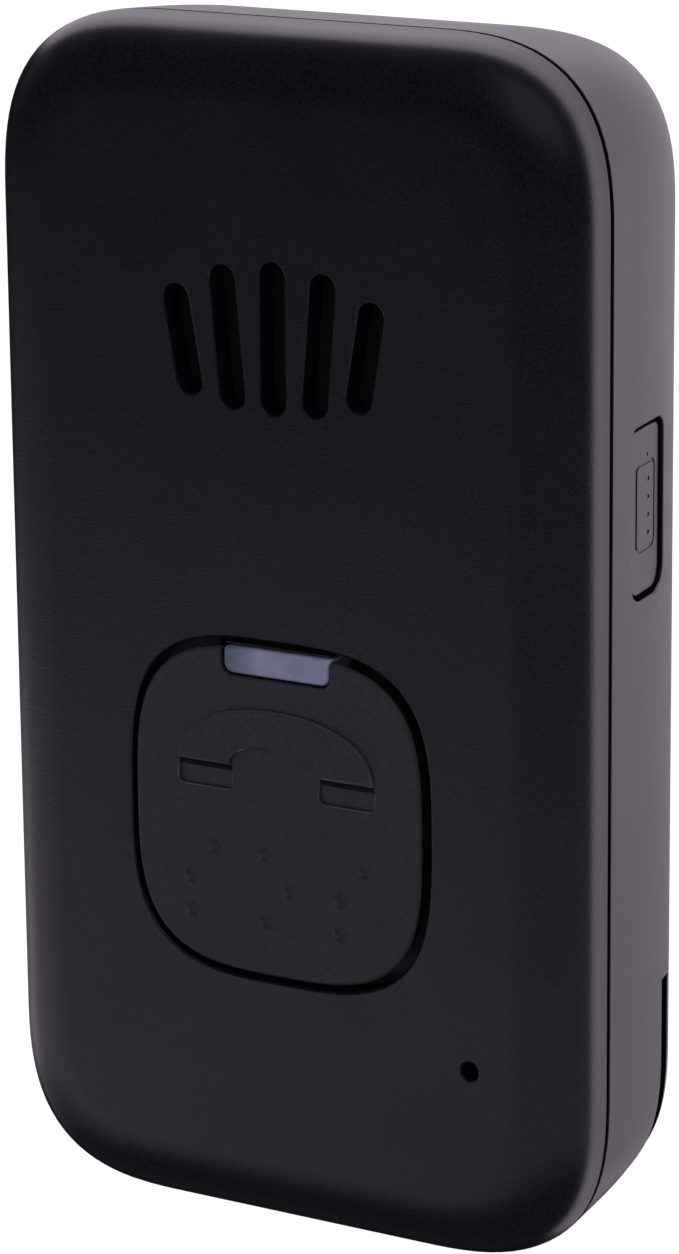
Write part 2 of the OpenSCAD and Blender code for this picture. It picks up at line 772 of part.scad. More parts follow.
module side_button() color(button_plastic) stand() {
    difference() {
        union() {
            difference() {
                along_u(side_flange_in, side_u) translate([side_v, side_w])
                    soft_rect(side_len, side_wide, side_r);
                on_side_face() translate([0, -side_len, -side_wide])
                    cube([side_u, 2 * side_len, 2 * side_wide]);
            }
            on_side_face() along_u(-root, pad_h) soft_rect(pad_len, pad_wide, pad_r);
        }
        on_side_face() along_u(pad_h - notch_d, pad_h + cut)
            for (i = [0:notch_count - 1]) translate([(i - (notch_count - 1) / 2) * notch_pitch, 0])
                soft_rect(notch_t, notch_len, notch_r);
    }
    along_u(side_flange_in, side_flange_out) translate([side_v, side_w])
        soft_rect(side_len + 2 * side_flange, side_wide + 2 * side_flange, side_r + side_flange);
    along_u(side_tip_u, side_flange_in + root) translate([side_v, side_w])
        square(side_plunger + clear, center = true);
}

module side_switch() color("#3a3a3c") stand() difference() {
    block([side_switch_face - side_switch_u / 2, side_v], side_switch_u, side_switch_v,
        board_back - side_switch_t, board_back);
    along_u(side_switch_face - side_plunger_in - side_travel - clear, side_switch_face + cut)
        translate([side_v, side_w]) square(side_plunger + clear, center = true);
}

module side_switch_plunger() color("#8c2f2b") stand() along_u(side_switch_face - side_plunger_in, side_tip_u)
    translate([side_v, side_w]) square(side_plunger, center = true);

// Status light

// Front view of the lens bar, narrower at its lower edge
module lens_bar() polygon([[-lens_w / 2, lens_v1], [lens_w / 2, lens_v1],
    [lens_w / 2 - lens_taper, lens_v0], [-lens_w / 2 + lens_taper, lens_v0]]);

module status_lens() color(lens_tint) stand() {
    translate([0, 0, lens_low]) linear_extrude(lens_face - lens_low) lens_bar();
    translate([0, (lens_v0 + opening_top + lens_foot) / 2, lens_low]) linear_extrude(front_in - lens_low)
        square([lens_foot_w, opening_top + lens_foot - lens_v0], center = true);
    for (x = [-1, 1]) rod([x * guide_u, guide_v], guide_d, board_front + led_t + clear, lens_low + root);
}

module status_leds() color("#e8e4d8") stand() for (x = [-1, 1])
    block([x * guide_u, guide_v], led_side, led_side / 2, board_front, board_front + led_t);

// Speaker

module speaker_mesh() color("#55575a") stand() rod([0, speaker_v], speaker_d, mesh_back, front_in);

module speaker_gasket() color(rubber) stand() difference() {
    rod([0, speaker_v], speaker_d, gasket_back, mesh_back);
    rod([0, speaker_v], speaker_d - 2 * gasket_w, gasket_back - cut, mesh_back + cut);
}

module speaker_frame() color("#4a4c50") stand() difference() {
    rod([0, speaker_v], speaker_d, speaker_back, gasket_back);
    rod([0, speaker_v], speaker_d - 2 * frame_wall, frame_floor, gasket_back + cut);
    for (i = [1:vent_count]) translate([0, speaker_v, speaker_back - cut]) rotate(i * 360 / vent_count)
        translate([(speaker_d + magnet_d) / 4, 0, 0]) cylinder(d = vent_d, h = 2 * cut + frame_floor_t);
}

// Height of the diaphragm at a radius: a dome inside the coil and a rolled edge outside it
function cone_rise(r) = r < coil_r ? dome_h * (1 - pow(r / coil_r, 2))
    : roll_h * sin(180 * (r - coil_r) / (cone_rim - coil_r));

// A domed diaphragm with a rolled edge, seated inside the rim of the frame
module speaker_cone() color("#8f8672") stand() translate([0, speaker_v, gasket_back - cone_seat])
    rotate_extrude() {
        radii = concat([for (i = [0:edge_steps]) coil_r * i / edge_steps],
            [for (i = [1:edge_steps]) coil_r + (cone_rim - coil_r) * i / edge_steps]);
        polygon(concat([for (r = radii) [r, cone_rise(r)]],
            [for (i = [len(radii) - 1:-1:0]) [radii[i], cone_rise(radii[i]) + cone_t]]));
    }

module speaker_coil() color("#b06a35") stand() difference() {
    rod([0, speaker_v], 2 * coil_r, frame_floor + coil_lift, gasket_back - cone_seat);
    rod([0, speaker_v], 2 * (coil_r - coil_t), frame_floor, gasket_back);
}

module speaker_magnet() color(steel) stand()
    rod([0, speaker_v], magnet_d, frame_floor, frame_floor + magnet_t);

module speaker_contacts() color(gold) stand() for (x = [-1, 1])
    block([x * speaker_pad_u, speaker_v - speaker_pad_drop], speaker_pad.x, speaker_pad.y, board_front,
        speaker_back);

// Microphone

module mic_boot() color(rubber) stand() difference() {
    rod(mic_point, mic_d + 2 * boot_wall, board_front, front_in);
    rod(mic_point, mic_d, board_front - cut, front_in - boot_wall);
    rod(mic_point, mic_hole_d, board_front, front_in + cut);
}

module mic_capsule() color(steel) stand() {
    rod(mic_point, mic_d, front_in - boot_wall - mic_t, front_in - boot_wall);
    for (x = [-1, 1]) rod(mic_point + [x * mic_d / 4, 0], mic_pin_d, board_front,
        front_in - boot_wall - mic_t + root);
}

// Circuit board

module main_board() color(green_board) stand() difference() {
    slab(body_outline(rear_inset(board_back) + wall_t + board_edge), board_back, board_front);
    for (p = screw_points) rod(p, boss_d + 2 * clear, board_back - cut, board_front + cut);
    for (p = post_points) rod(p, board_screw_d + 2 * screw_fit, board_back - cut, board_front + cut);
    block([side_notch_u + side_u, side_v], body_w, side_len + 2 * side_flange + 2 * clear,
        board_back - cut, board_front + cut);
}

module board_screws() color(steel) stand() for (p = post_points) {
    rod(p, board_screw_d, board_back - post_depth, board_front + root);
    rod(p, board_head_d, board_front, board_front + board_head_t);
}

// A flat part soldered to the back of the board
module back_chip(middle, size, margin = 0)
    block(middle, size.x - 2 * margin, size.y - 2 * margin, board_back - size.z + margin, board_back);

module shield_can() color(steel) stand() difference() {
    back_chip(can_point, can_size);
    translate([0, 0, can_wall]) back_chip(can_point, can_size, can_wall);
}

module radio_module() color("#26282b") stand() back_chip(can_point, radio_size);

module processor() color("#26282b") stand() back_chip(processor_point, processor_size);

// A bent strip that stands on two feet
module antenna() color(gold) stand() {
    block([0, antenna_v], antenna_w, antenna_h, board_front + antenna_rise - antenna_t,
        board_front + antenna_rise);
    for (u = [-antenna_w / 2 + antenna_t / 2, -antenna_w / 4])
        block([u, antenna_v], antenna_t, foot_h, board_front, board_front + antenna_rise);
}

front_shell();
rear_shell();
shell_seal();
case_screws();
lanyard_bar();
battery_door();
battery_pack();
battery_contacts();
call_button();
call_switch();
call_switch_plunger();
side_button();
side_switch();
side_switch_plunger();
status_lens();
status_leds();
speaker_mesh();
speaker_gasket();
speaker_frame();
speaker_cone();
speaker_coil();
speaker_magnet();
speaker_contacts();
mic_boot();
mic_capsule();
main_board();
board_screws();
shield_can();
radio_module();
processor();
antenna();
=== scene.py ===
"""Looks of a medical alert pendant: fine shapes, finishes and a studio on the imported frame."""
import json
import logging
import math
from dataclasses import dataclass
from enum import Enum
from functools import cache
from typing import Callable, Sequence

import bmesh
import bpy
from mathutils import Matrix, Vector


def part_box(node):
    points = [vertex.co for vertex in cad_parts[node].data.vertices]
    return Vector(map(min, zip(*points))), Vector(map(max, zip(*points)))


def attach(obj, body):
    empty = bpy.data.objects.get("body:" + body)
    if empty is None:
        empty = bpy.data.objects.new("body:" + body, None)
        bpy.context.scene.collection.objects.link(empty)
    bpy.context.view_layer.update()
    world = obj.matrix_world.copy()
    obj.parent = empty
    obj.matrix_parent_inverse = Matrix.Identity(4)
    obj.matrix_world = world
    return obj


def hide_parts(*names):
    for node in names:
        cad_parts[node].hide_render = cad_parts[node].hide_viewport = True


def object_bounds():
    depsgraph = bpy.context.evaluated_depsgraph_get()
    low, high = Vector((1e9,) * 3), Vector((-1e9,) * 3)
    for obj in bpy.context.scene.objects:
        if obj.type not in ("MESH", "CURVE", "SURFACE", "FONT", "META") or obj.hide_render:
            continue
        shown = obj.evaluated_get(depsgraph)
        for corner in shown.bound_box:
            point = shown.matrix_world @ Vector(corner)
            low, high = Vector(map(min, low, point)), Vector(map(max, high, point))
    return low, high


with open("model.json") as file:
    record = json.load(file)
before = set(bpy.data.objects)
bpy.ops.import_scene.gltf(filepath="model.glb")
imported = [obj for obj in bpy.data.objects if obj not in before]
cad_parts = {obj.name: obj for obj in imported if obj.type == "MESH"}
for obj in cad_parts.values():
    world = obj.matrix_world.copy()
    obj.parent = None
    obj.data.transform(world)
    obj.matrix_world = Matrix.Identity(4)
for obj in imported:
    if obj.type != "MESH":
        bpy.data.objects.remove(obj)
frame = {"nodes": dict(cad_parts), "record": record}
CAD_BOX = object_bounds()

LOG = logging.getLogger("pendant")
# Metres in a millimetre, the unit of every size of a sub-assembly below
MM = 0.001
QUARTER = math.pi / 2
# Fine stretches walked along a curve for each one that is kept
FINE_STEPS = 40
# Turn of a rounded mouth, which stops just short of level with its face
MOUTH_TURN = math.radians(84)
# Millimetres that a cut runs past the face that it opens
OVERRUN = 1.0
# Millimetres that a corner's radius, a stretch of an outline and a mesh edge have at least
LEAST_RADIUS = 0.02
LEAST_STRETCH = 0.000001
LEAST_EDGE = 0.002
# Degrees past which an edge stays sharp, on moulded, turned and domed pieces
MOULDED_SHARP = 38.0
TURNED_SHARP = 30.0
DOMED_SHARP = 60.0

Flat = tuple[float, float]
Spot = tuple[float, float, float]
Colour = tuple[float, float, float]
Ramp = tuple[Flat, Flat]
Piece = bpy.types.Object
Node = bpy.types.Node
Socket = bpy.types.NodeSocket
Tree = bpy.types.NodeTree
# Range of a mask, from none to all
WHOLE: Flat = (0.0, 1.0)


class Join(Enum):
    """How one solid is combined with another."""

    TAKE_AWAY = "DIFFERENCE"
    ADD = "UNION"
    KEEP_SHARED = "INTERSECT"


class Facing(Enum):
    """Which way a face looks along the depth of the body."""

    FRONT = 1
    BACK = -1


# Outlines and solids


@dataclass(frozen=True)
class Bench:
    """Places in millimetres, right, up and out from the back face, turned into the frame's metres."""

    back: float
    middle: float

    @classmethod
    def from_frame(cls) -> "Bench":
        """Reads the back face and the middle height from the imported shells."""
        low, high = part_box("front_shell")
        return cls(back=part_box("rear_shell")[1].y, middle=(low.z + high.z) / 2)

    def at(self, spot: Spot) -> Vector:
        """Gives the frame's point for a place on the bench."""
        right, up, out = spot
        return Vector((right * MM, self.back - out * MM, self.middle + up * MM))

    def front_of(self, node: str) -> float:
        """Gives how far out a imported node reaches."""
        return (self.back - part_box(node)[0].y) / MM


def quarter_curve(power: float, steps: int) -> list[Flat]:
    """Spreads points evenly along a unit power curve from (1, 0) to (0, 1).

    Args:
        power: Power of the curve, where 2 is a circle.
        steps: Number of stretches between the points.

    Returns:
        The points, one more than there are steps.
    """
    fine = FINE_STEPS * steps
    turns = [QUARTER * i / fine for i in range(fine + 1)]
    curve = [(abs(math.cos(t)) ** (2 / power), abs(math.sin(t)) ** (2 / power)) for t in turns]
    walked = [0.0]
    for before, after in zip(curve, curve[1:]):
        walked.append(walked[-1] + math.dist(before, after))
    picked = []
    place = 0
    for step in range(steps + 1):
        while place < fine and walked[place] < walked[-1] * step / steps:
            place += 1
        picked.append(curve[place])
    picked[0] = (1.0, 0.0)
    picked[-1] = (0.0, 1.0)
    return picked


def soft_outline(half_u: float, half_v: float, reach_u: float, reach_v: float, power: float = 2.0,
                 steps: int = 10) -> list[Flat]:
    """Draws a closed outline whose four corners are power curves.

    Args:
        half_u: Half of the width.
        half_v: Half of the height.
        reach_u: Reach of each corner along the width.
        reach_v: Reach of each corner along the height.
        power: Power of the corner curve, where 2 is an ellipse.
        steps: Stretches along one corner.

    Returns:
        The points, counter-clockwise as seen from the front.
    """
    corner = quarter_curve(power, steps)
    outline: list[Flat] = []
    for sign_u, sign_v in ((1, 1), (-1, 1), (-1, -1), (1, -1)):
        for along, across in corner if sign_u == sign_v else corner[::-1]:
            right = sign_u * (half_u - reach_u + reach_u * along)
            up = sign_v * (half_v - reach_v + reach_v * across)
            if not outline or math.dist((right, up), outline[-1]) > LEAST_STRETCH:
                outline.append((right, up))
    if math.dist(outline[0], outline[-1]) < LEAST_STRETCH:
        outline.pop()
    return outline


def round_rect(width: float, height: float, radius: float, grow: float = 0.0) -> list[Flat]:
    """Draws a rectangle with round corners, moved out all round by grow."""
    reach = max(radius + grow, LEAST_RADIUS)
    return soft_outline(width / 2 + grow, height / 2 + grow, reach, reach)


def disc(diameter: float, grow: float = 0.0) -> list[Flat]:
    """Draws a circle, moved out by grow."""
    radius = diameter / 2 + grow
    return soft_outline(radius, radius, radius, radius)


def rounded_outline(corners: Sequence[Spot], grow: float, steps: int = 6) -> list[Flat]:
    """Draws a polygon with its own radius at each corner, moved out all round.

    Args:
        corners: Corners in turn as right, up and radius, where radius 0 stays sharp.
        grow: Distance that every side moves out, if the corners run counter-clockwise.
        steps: Stretches along one round corner.

    Returns:
        The points of the outline.
    """
    sides = []
    for here, there in zip(corners, [*corners[1:], corners[0]]):
        along = (Vector(there[:2]) - Vector(here[:2])).normalized()
        sides.append((Vector(here[:2]) + Vector((along.y, -along.x)) * grow, along))
    outline: list[Flat] = []
    for index, corner in enumerate(corners):
        start, along = sides[index - 1]
        after, onward = sides[index]
        cross = along.x * onward.y - along.y * onward.x
        gap = after - start
        tip = start + along * ((gap.x * onward.y - gap.y * onward.x) / cross)
        if corner[2] <= 0:
            outline.append(tuple(tip))
            continue
        bend = math.atan2(cross, along.dot(onward))
        side = math.copysign(1, bend)
        radius = max(corner[2] + side * grow, LEAST_RADIUS)
        first = tip - along * radius * math.tan(abs(bend) / 2)
        centre = first + Vector((-along.y, along.x)) * side * radius
        for step in range(steps + 1):
            turn = Matrix.Rotation(bend * step / steps, 2)
            outline.append(tuple(centre + turn @ (first - centre)))
    return outline


def shifted(outline: Sequence[Flat], middle: Flat, turn: float = 0.0) -> list[Flat]:
    """Turns an outline about its own origin and moves it to a middle point."""
    cos, sin = math.cos(turn), math.sin(turn)
    return [(u * cos - v * sin + middle[0], u * sin + v * cos + middle[1]) for u, v in outline]


def level(outline: Sequence[Flat], out: float) -> list[Spot]:
    """Sets an outline of right and up at one distance from the back face."""
    return [(right, up, out) for right, up in outline]


def crosswise(outline: Sequence[Flat], right: float) -> list[Spot]:
    """Sets an outline of up and out at one place along the width."""
    return [(right, up, out) for up, out in outline]


def edge_profile(radius: float, steps: int = 5) -> list[Flat]:
    """Lists (inset, drop) pairs of a round edge, from its wall up to its face."""
    turns = [QUARTER * i / steps for i in range(steps + 1)]
    return [(radius * (1 - math.cos(t)), radius * (1 - math.sin(t))) for t in turns]


def mouth_profile(rim: float, steps: int = 5) -> list[Flat]:
    """Lists the profile of a cutter with a round mouth.

    Args:
        rim: Radius of the mouth.
        steps: Stretches along its curve.

    Returns:
        Pairs of offset and rise, from the wall to just past the face that it opens.
    """
    profile = []
    for step in range(steps + 1):
        turn = MOUTH_TURN * step / steps
        profile.append((rim * (1 - math.cos(turn)), rim * (math.sin(turn) - 1)))
    offset, rise = profile[-1]
    profile.append((offset + rim, rise + rim / math.tan(MOUTH_TURN)))
    profile.append((offset + rim, OVERRUN))
    return profile


def placed(name: str, shape: bmesh.types.BMesh) -> Piece:
    """Turns a finished shape into an object of the scene.

    Args:
        name: Name of the new object.
        shape: Shape that it takes, which is used up.

    Returns:
        The new object.
    """
    mesh = bpy.data.meshes.new(name)
    shape.to_mesh(mesh)
    shape.free()
    piece = bpy.data.objects.new(name, mesh)
    bpy.context.scene.collection.objects.link(piece)
    return piece


def lofted(name: str, bench: Bench, rings: Sequence[Sequence[Spot]]) -> Piece:
    """Builds a closed solid through rings that have equally many points.

    Args:
        name: Name of the new object.
        bench: Bench that the places belong to.
        rings: Rings of bench places, from one flat end to the other.

    Returns:
        The new object, with its faces looking out.
    """
    shape = bmesh.new()
    rows = [[shape.verts.new(bench.at(spot)) for spot in ring] for ring in rings]
    for low, high in zip(rows, rows[1:]):
        for index in range(len(low)):
            after = (index + 1) % len(low)
            shape.faces.new((low[index], low[after], high[after], high[index]))
    shape.faces.new(rows[0][::-1])
    shape.faces.new(rows[-1])
    bmesh.ops.recalc_face_normals(shape, faces=shape.faces)
    return placed(name, shape)


def column(name: str, bench: Bench, outline: Sequence[Flat], low: float, high: float) -> Piece:
    """Builds a straight solid on an outline between two levels."""
    return lofted(name, bench, [level(outline, low), level(outline, high)])


def brick(name: str, bench: Bench, middle: Flat, size: Flat, low: float, high: float) -> Piece:
    """Builds a plain block.

    Args:
        name: Name of the new object.
        bench: Bench that the places belong to.
        middle: Middle of the block, right and up.
        size: Width and height.
        low: Level of its back.
        high: Level of its front.

    Returns:
        The block.
    """
    half_u, half_v = size[0] / 2, size[1] / 2
    corners = [(half_u, half_v), (-half_u, half_v), (-half_u, -half_v), (half_u, -half_v)]
    return column(name, bench, shifted(corners, middle), low, high)


def mouth_cutter(name: str, bench: Bench, outline: Callable[[float], list[Flat]], floor: float,
                 face: float, rim: float, facing: Facing) -> Piece:
    """Builds the cutter of a hole whose mouth is rounded.

    Args:
        name: Name of the cutter.
        bench: Bench that the places belong to.
        outline: Gives the hole's outline, moved out by a distance.
        floor: Level at which the hole ends.
        face: Level of the face that it opens.
        rim: Radius of the rounded mouth.
        facing: Which way that face looks.

    Returns:
        The cutter.
    """
    rings = [level(outline(0.0), floor)]
    for offset, rise in mouth_profile(rim):
        rings.append(level(outline(offset), face + facing.value * rise))
    return lofted(name, bench, rings)


def discard(piece: Piece) -> None:
    """Removes an object and its mesh.

    Args:
        piece: Object that is no longer needed.
    """
    mesh = piece.data
    bpy.data.objects.remove(piece)
    bpy.data.meshes.remove(mesh)


def combine(target: Piece, tool: Piece, how: Join) -> None:
    """Combines a solid with a tool solid.

    Args:
        target: Solid that changes.
        tool: Solid that is used up.
        how: What is kept of the two.
    """
    modifier = target.modifiers.new("combine", "BOOLEAN")
    modifier.operation = how.value
    modifier.solver = "MANIFOLD"
    modifier.object = tool
    graph = bpy.context.evaluated_depsgraph_get()
    result = bpy.data.meshes.new_from_object(target.evaluated_get(graph))
    result.name = target.name
    target.modifiers.clear()
    before = target.data
    target.data = result
    bpy.data.meshes.remove(before)
    discard(tool)


def cut(target: Piece, *tools: Piece) -> None:
    """Takes solids away from a solid, one after the other."""
    for tool in tools:
        combine(target, tool, Join.TAKE_AWAY)


def unite(target: Piece, *tools: Piece) -> None:
    """Adds solids to a solid, one after the other."""
    for tool in tools:
        combine(target, tool, Join.ADD)


def merged(name: str, parts: Sequence[Piece]) -> Piece:
    """Puts several separate solids into one object.

    Args:
        name: Name of the new object.
        parts: Solids, which are used up.

    Returns:
        The new object.
    """
    shape = bmesh.new()
    for part in parts:
        shape.from_mesh(part.data)
        discard(part)
    return placed(name, shape)


def smooth(piece: Piece, sharp: float = MOULDED_SHARP) -> None:
    """Welds a piece and shades it smoothly between its sharp edges.

    Args:
        piece: Piece with its final mesh.
        sharp: Degrees past which an edge stays sharp.
    """
    mesh = piece.data
    shape = bmesh.new()
    shape.from_mesh(mesh)
    bmesh.ops.remove_doubles(shape, verts=shape.verts, dist=LEAST_EDGE * MM)
    shape.to_mesh(mesh)
    shape.free()
    mesh.shade_smooth()
    mesh.set_sharp_from_angle(angle=math.radians(sharp))
    modifier = piece.modifiers.new("even_shading", "WEIGHTED_NORMAL")
    modifier.keep_sharp = True


# Shader groups


class Wiring:
    """Places nodes in one tree and joins them."""

    MIX_FIRST, MIX_SECOND, MIX_RESULT = 6, 7, 2

    def __init__(self, tree: Tree) -> None:
        """Takes the tree that the nodes go into."""
        self.tree = tree

    def add(self, kind: str, values: dict[str, object] | None = None, **settings: object) -> Node:
        """Adds a node.

        Args:
            kind: Node type.
            values: Plain values of its input sockets.
            **settings: Properties of the node.

        Returns:
            The new node.
        """
        node = self.tree.nodes.new(kind)
        for key, value in settings.items():
            setattr(node, key, value)
        for key, value in (values or {}).items():
            node.inputs[key].default_value = value
        return node

    def join(self, source: Socket, target: Socket) -> None:
        """Links an output to an input."""
        self.tree.links.new(source, target)

    def on_piece(self, kind: str, values: dict[str, object], scale: Socket | None = None,
                 **settings: object) -> Node:
        """Adds a node that takes its places from the piece, in metres.

        Args:
            kind: Node type.
            values: Plain values of its input sockets.
            scale: Value that sets its scale, where that isn't a plain one.
            **settings: Properties of the node.

        Returns:
            The new node.
        """
        node = self.add(kind, values, **settings)
        self.join(self.add("ShaderNodeTexCoord").outputs["Object"], node.inputs["Vector"])
        if scale is not None:
            self.join(scale, node.inputs["Scale"])
        return node

    def math(self, operation: str, first: Socket, second: Socket | float) -> Socket:
        """Adds one step of arithmetic.

        Args:
            operation: What is done with the two values.
            first: First value.
            second: Second value, or a plain number.

        Returns:
            The result.
        """
        node = self.add("ShaderNodeMath", operation=operation)
        self.join(first, node.inputs[0])
        if isinstance(second, float):
            node.inputs[1].default_value = second
        else:
            self.join(second, node.inputs[1])
        return node.outputs[0]

    def product(self, first: Socket, *others: Socket | float) -> Socket:
        """Multiplies values.

        Args:
            first: First value.
            *others: Values or plain numbers that it is multiplied by.

        Returns:
            The product.
        """
        for other in others:
            first = self.math("MULTIPLY", first, other)
        return first

    def total(self, first: Socket, *others: Socket | float) -> Socket:
        """Adds values up.

        Args:
            first: First value.
            *others: Values or plain numbers that are added to it.

        Returns:
            The sum.
        """
        for other in others:
            first = self.math("ADD", first, other)
        return first

    def spread(self, source: Socket, start: Flat, end: Flat, soft: bool = False) -> Socket:
        """Maps one range of values onto another.

        Args:
            source: Value to map.
            start: Range that the value comes from.
            end: Range that it goes to.
            soft: Whether the change eases in and out.

        Returns:
            The mapped value.
        """
        node = self.add("ShaderNodeMapRange", {"From Min": start[0], "From Max": start[1],
                                               "To Min": end[0], "To Max": end[1]})
        node.interpolation_type = "SMOOTHSTEP" if soft else "LINEAR"
        self.join(source, node.inputs["Value"])
        return node.outputs["Result"]

    def ease(self, source: Socket, ramp: Ramp) -> Socket:
        """Maps a value along a ramp that eases in and out."""
        return self.spread(source, *ramp, soft=True)

    def tint(self, share: Socket, first: Colour | Socket, second: Colour) -> Socket:
        """Mixes two colours by a share that varies over the surface.

        Args:
            share: Share of the second colour.
            first: Colour where the share is nothing.
            second: Colour where the share is all.

        Returns:
            The mixed colour.
        """
        node = self.add("ShaderNodeMix", data_type="RGBA")
        self.join(share, node.inputs["Factor"])
        if isinstance(first, Socket):
            self.join(first, node.inputs[self.MIX_FIRST])
        else:
            node.inputs[self.MIX_FIRST].default_value = (*first, 1.0)
        node.inputs[self.MIX_SECOND].default_value = (*second, 1.0)
        return node.outputs[self.MIX_RESULT]

    def group(self, tree: Tree, values: dict[str, object]) -> Node:
        """Places a shader group and sets its inputs."""
        return self.add("ShaderNodeGroup", values, node_tree=tree)

    def surface(self, values: dict[str, object]) -> Node:
        """Adds the surface shader and the output.

        Args:
            values: Plain values of the shader's sockets.

        Returns:
            The shader.
        """
        shader = self.add("ShaderNodeBsdfPrincipled", values)
        output = self.add("ShaderNodeOutputMaterial")
        self.join(shader.outputs["BSDF"], output.inputs["Surface"])
        return shader

    def relief(self, height: Socket, depth: float, shader: Node) -> None:
        """Feeds a relief into the shader's normal.

        Args:
            height: Height as a share of the depth.
            depth: Depth in metres.
            shader: Surface shader that takes it.
        """
        bump = self.add("ShaderNodeBump", {"Distance": depth, "Strength": 1.0})
        self.join(height, bump.inputs["Height"])
        self.join(bump.outputs["Normal"], shader.inputs["Normal"])


class SurfaceGroups:
    """Shader groups that several finishes share, each built once."""

    PIT_SHARE: float = 0.35
    GRAIN_TONE: Flat = (0.3, 0.7)
    PATCH_EDGE: Ramp = ((0.35, 0.68), WHOLE)
    # Pointiness ramp and patchy break-up of the lighter edges: wear, and on the raised signs a painted
    # highlight
    WEAR_AND_HIGHLIGHT_EDGE: Ramp = ((0.52, 0.62), WHOLE)
    WEAR_AND_HIGHLIGHT_BREAK: Ramp = ((0.3, 0.7), (0.2, 1.0))
    LINE_STRETCH: Spot = (0.04, 1.0, 1.0)
    LINE_EDGE: Flat = (0.35, 0.65)

    @staticmethod
    def start(name: str, inputs: Sequence[str], outputs: Sequence[str]) -> tuple[Wiring, Node, Node]:
        """Opens a new group tree.

        Args:
            name: Name of the group.
            inputs: Names of its value inputs.
            outputs: Names of its value outputs.

        Returns:
            The wiring of the tree, its input node and its output node.
        """
        tree = bpy.data.node_groups.new(name, "ShaderNodeTree")
        for direction, titles in (("INPUT", inputs), ("OUTPUT", outputs)):
            for title in titles:
                tree.interface.new_socket(title, in_out=direction, socket_type="NodeSocketFloat")
        wiring = Wiring(tree)
        return wiring, wiring.add("NodeGroupInput"), wiring.add("NodeGroupOutput")

    @classmethod
    @cache
    def moulded_grain(cls) -> Tree:
        """Makes the fine grain of an eroded mould.

        Returns:
            The group, which puts out a height and a change of tone.
        """
        wiring, given, out = cls.start("moulded_grain", ["Scale"], ["Height", "Tone"])
        scale = given.outputs["Scale"]
        coarse = wiring.on_piece("ShaderNodeTexNoise", {"Detail": 3.0, "Roughness": 0.62}, scale)
        pits = wiring.on_piece("ShaderNodeTexVoronoi", {}, scale)
        pit_depth = wiring.product(pits.outputs["Distance"], cls.PIT_SHARE)
        wiring.join(wiring.total(coarse.outputs["Fac"], pit_depth), out.inputs["Height"])
        wiring.join(wiring.spread(coarse.outputs["Fac"], cls.GRAIN_TONE, WHOLE), out.inputs["Tone"])
        return wiring.tree

    @classmethod
    @cache
    def handling(cls) -> Tree:
        """Makes the soft patches left by handling.

        Returns:
            The group, which puts out a mask.
        """
        wiring, given, out = cls.start("handling", ["Scale"], ["Mask"])
        values = {"Detail": 4.0, "Roughness": 0.55, "Distortion": 0.4}
        patches = wiring.on_piece("ShaderNodeTexNoise", values, given.outputs["Scale"])
        wiring.join(wiring.ease(patches.outputs["Fac"], cls.PATCH_EDGE), out.inputs["Mask"])
        return wiring.tree

    @classmethod
    @cache
    def worn_and_highlight_edges(cls) -> Tree:
        """Makes the edges that wear has polished, broken up by patches, a mask that on the raised signs
        also carries a painted highlight.

        Returns:
            The group, which puts out a mask.
        """
        wiring, given, out = cls.start("worn_and_highlight_edges", ["Amount"], ["Mask"])
        form = wiring.add("ShaderNodeNewGeometry")
        edge = wiring.ease(form.outputs["Pointiness"], cls.WEAR_AND_HIGHLIGHT_EDGE)
        patches = wiring.on_piece("ShaderNodeTexNoise", {"Scale": 600.0, "Detail": 3.0})
        broken = wiring.spread(patches.outputs["Fac"], *cls.WEAR_AND_HIGHLIGHT_BREAK)
        wiring.join(wiring.product(edge, broken, given.outputs["Amount"]), out.inputs["Mask"])
        return wiring.tree

    @classmethod
    @cache
    def drawn_lines(cls) -> Tree:
        """Makes the fine lines of drawn or rolled metal along the width.

        Returns:
            The group, which puts out a height and a mask.
        """
        wiring, given, out = cls.start("drawn_lines", ["Scale"], ["Height", "Mask"])
        stretch = wiring.on_piece("ShaderNodeMapping", {"Scale": cls.LINE_STRETCH})
        lines = wiring.add("ShaderNodeTexNoise", {"Detail": 5.0, "Roughness": 0.7})
        wiring.join(stretch.outputs["Vector"], lines.inputs["Vector"])
        wiring.join(given.outputs["Scale"], lines.inputs["Scale"])
        wiring.join(lines.outputs["Fac"], out.inputs["Height"])
        wiring.join(wiring.spread(lines.outputs["Fac"], cls.LINE_EDGE, WHOLE), out.inputs["Mask"])
        return wiring.tree


# Finishes


def shaded(colour: Colour, share: float) -> Colour:
    """Makes a colour lighter or darker by a share."""
    return tuple(min(part * share, 1.0) for part in colour)


@dataclass(frozen=True)
class Finish:
    """Values that every finish has, with the record's slot where that isn't the finish's own name.

    Lengths in a finish are in metres, and tones are shares of its colour.
    """

    name: str
    colour: Colour
    roughness: float
    slot: str = ""

    def material(self) -> bpy.types.Material:
        """Makes the material the first time.

        Returns:
            The material, which is the same one each time.
        """
        title = self.name + "_finish"
        made = bpy.data.materials.get(title)
        if made is None:
            made = bpy.data.materials.new(title)
            made.use_nodes = True
            made.node_tree.nodes.clear()
            made.diffuse_color = (*self.colour, 1.0)
            self.dress(Wiring(made.node_tree))
        return made

    def dress(self, wiring: Wiring) -> None:
        """Fills the material's tree."""
        raise NotImplementedError


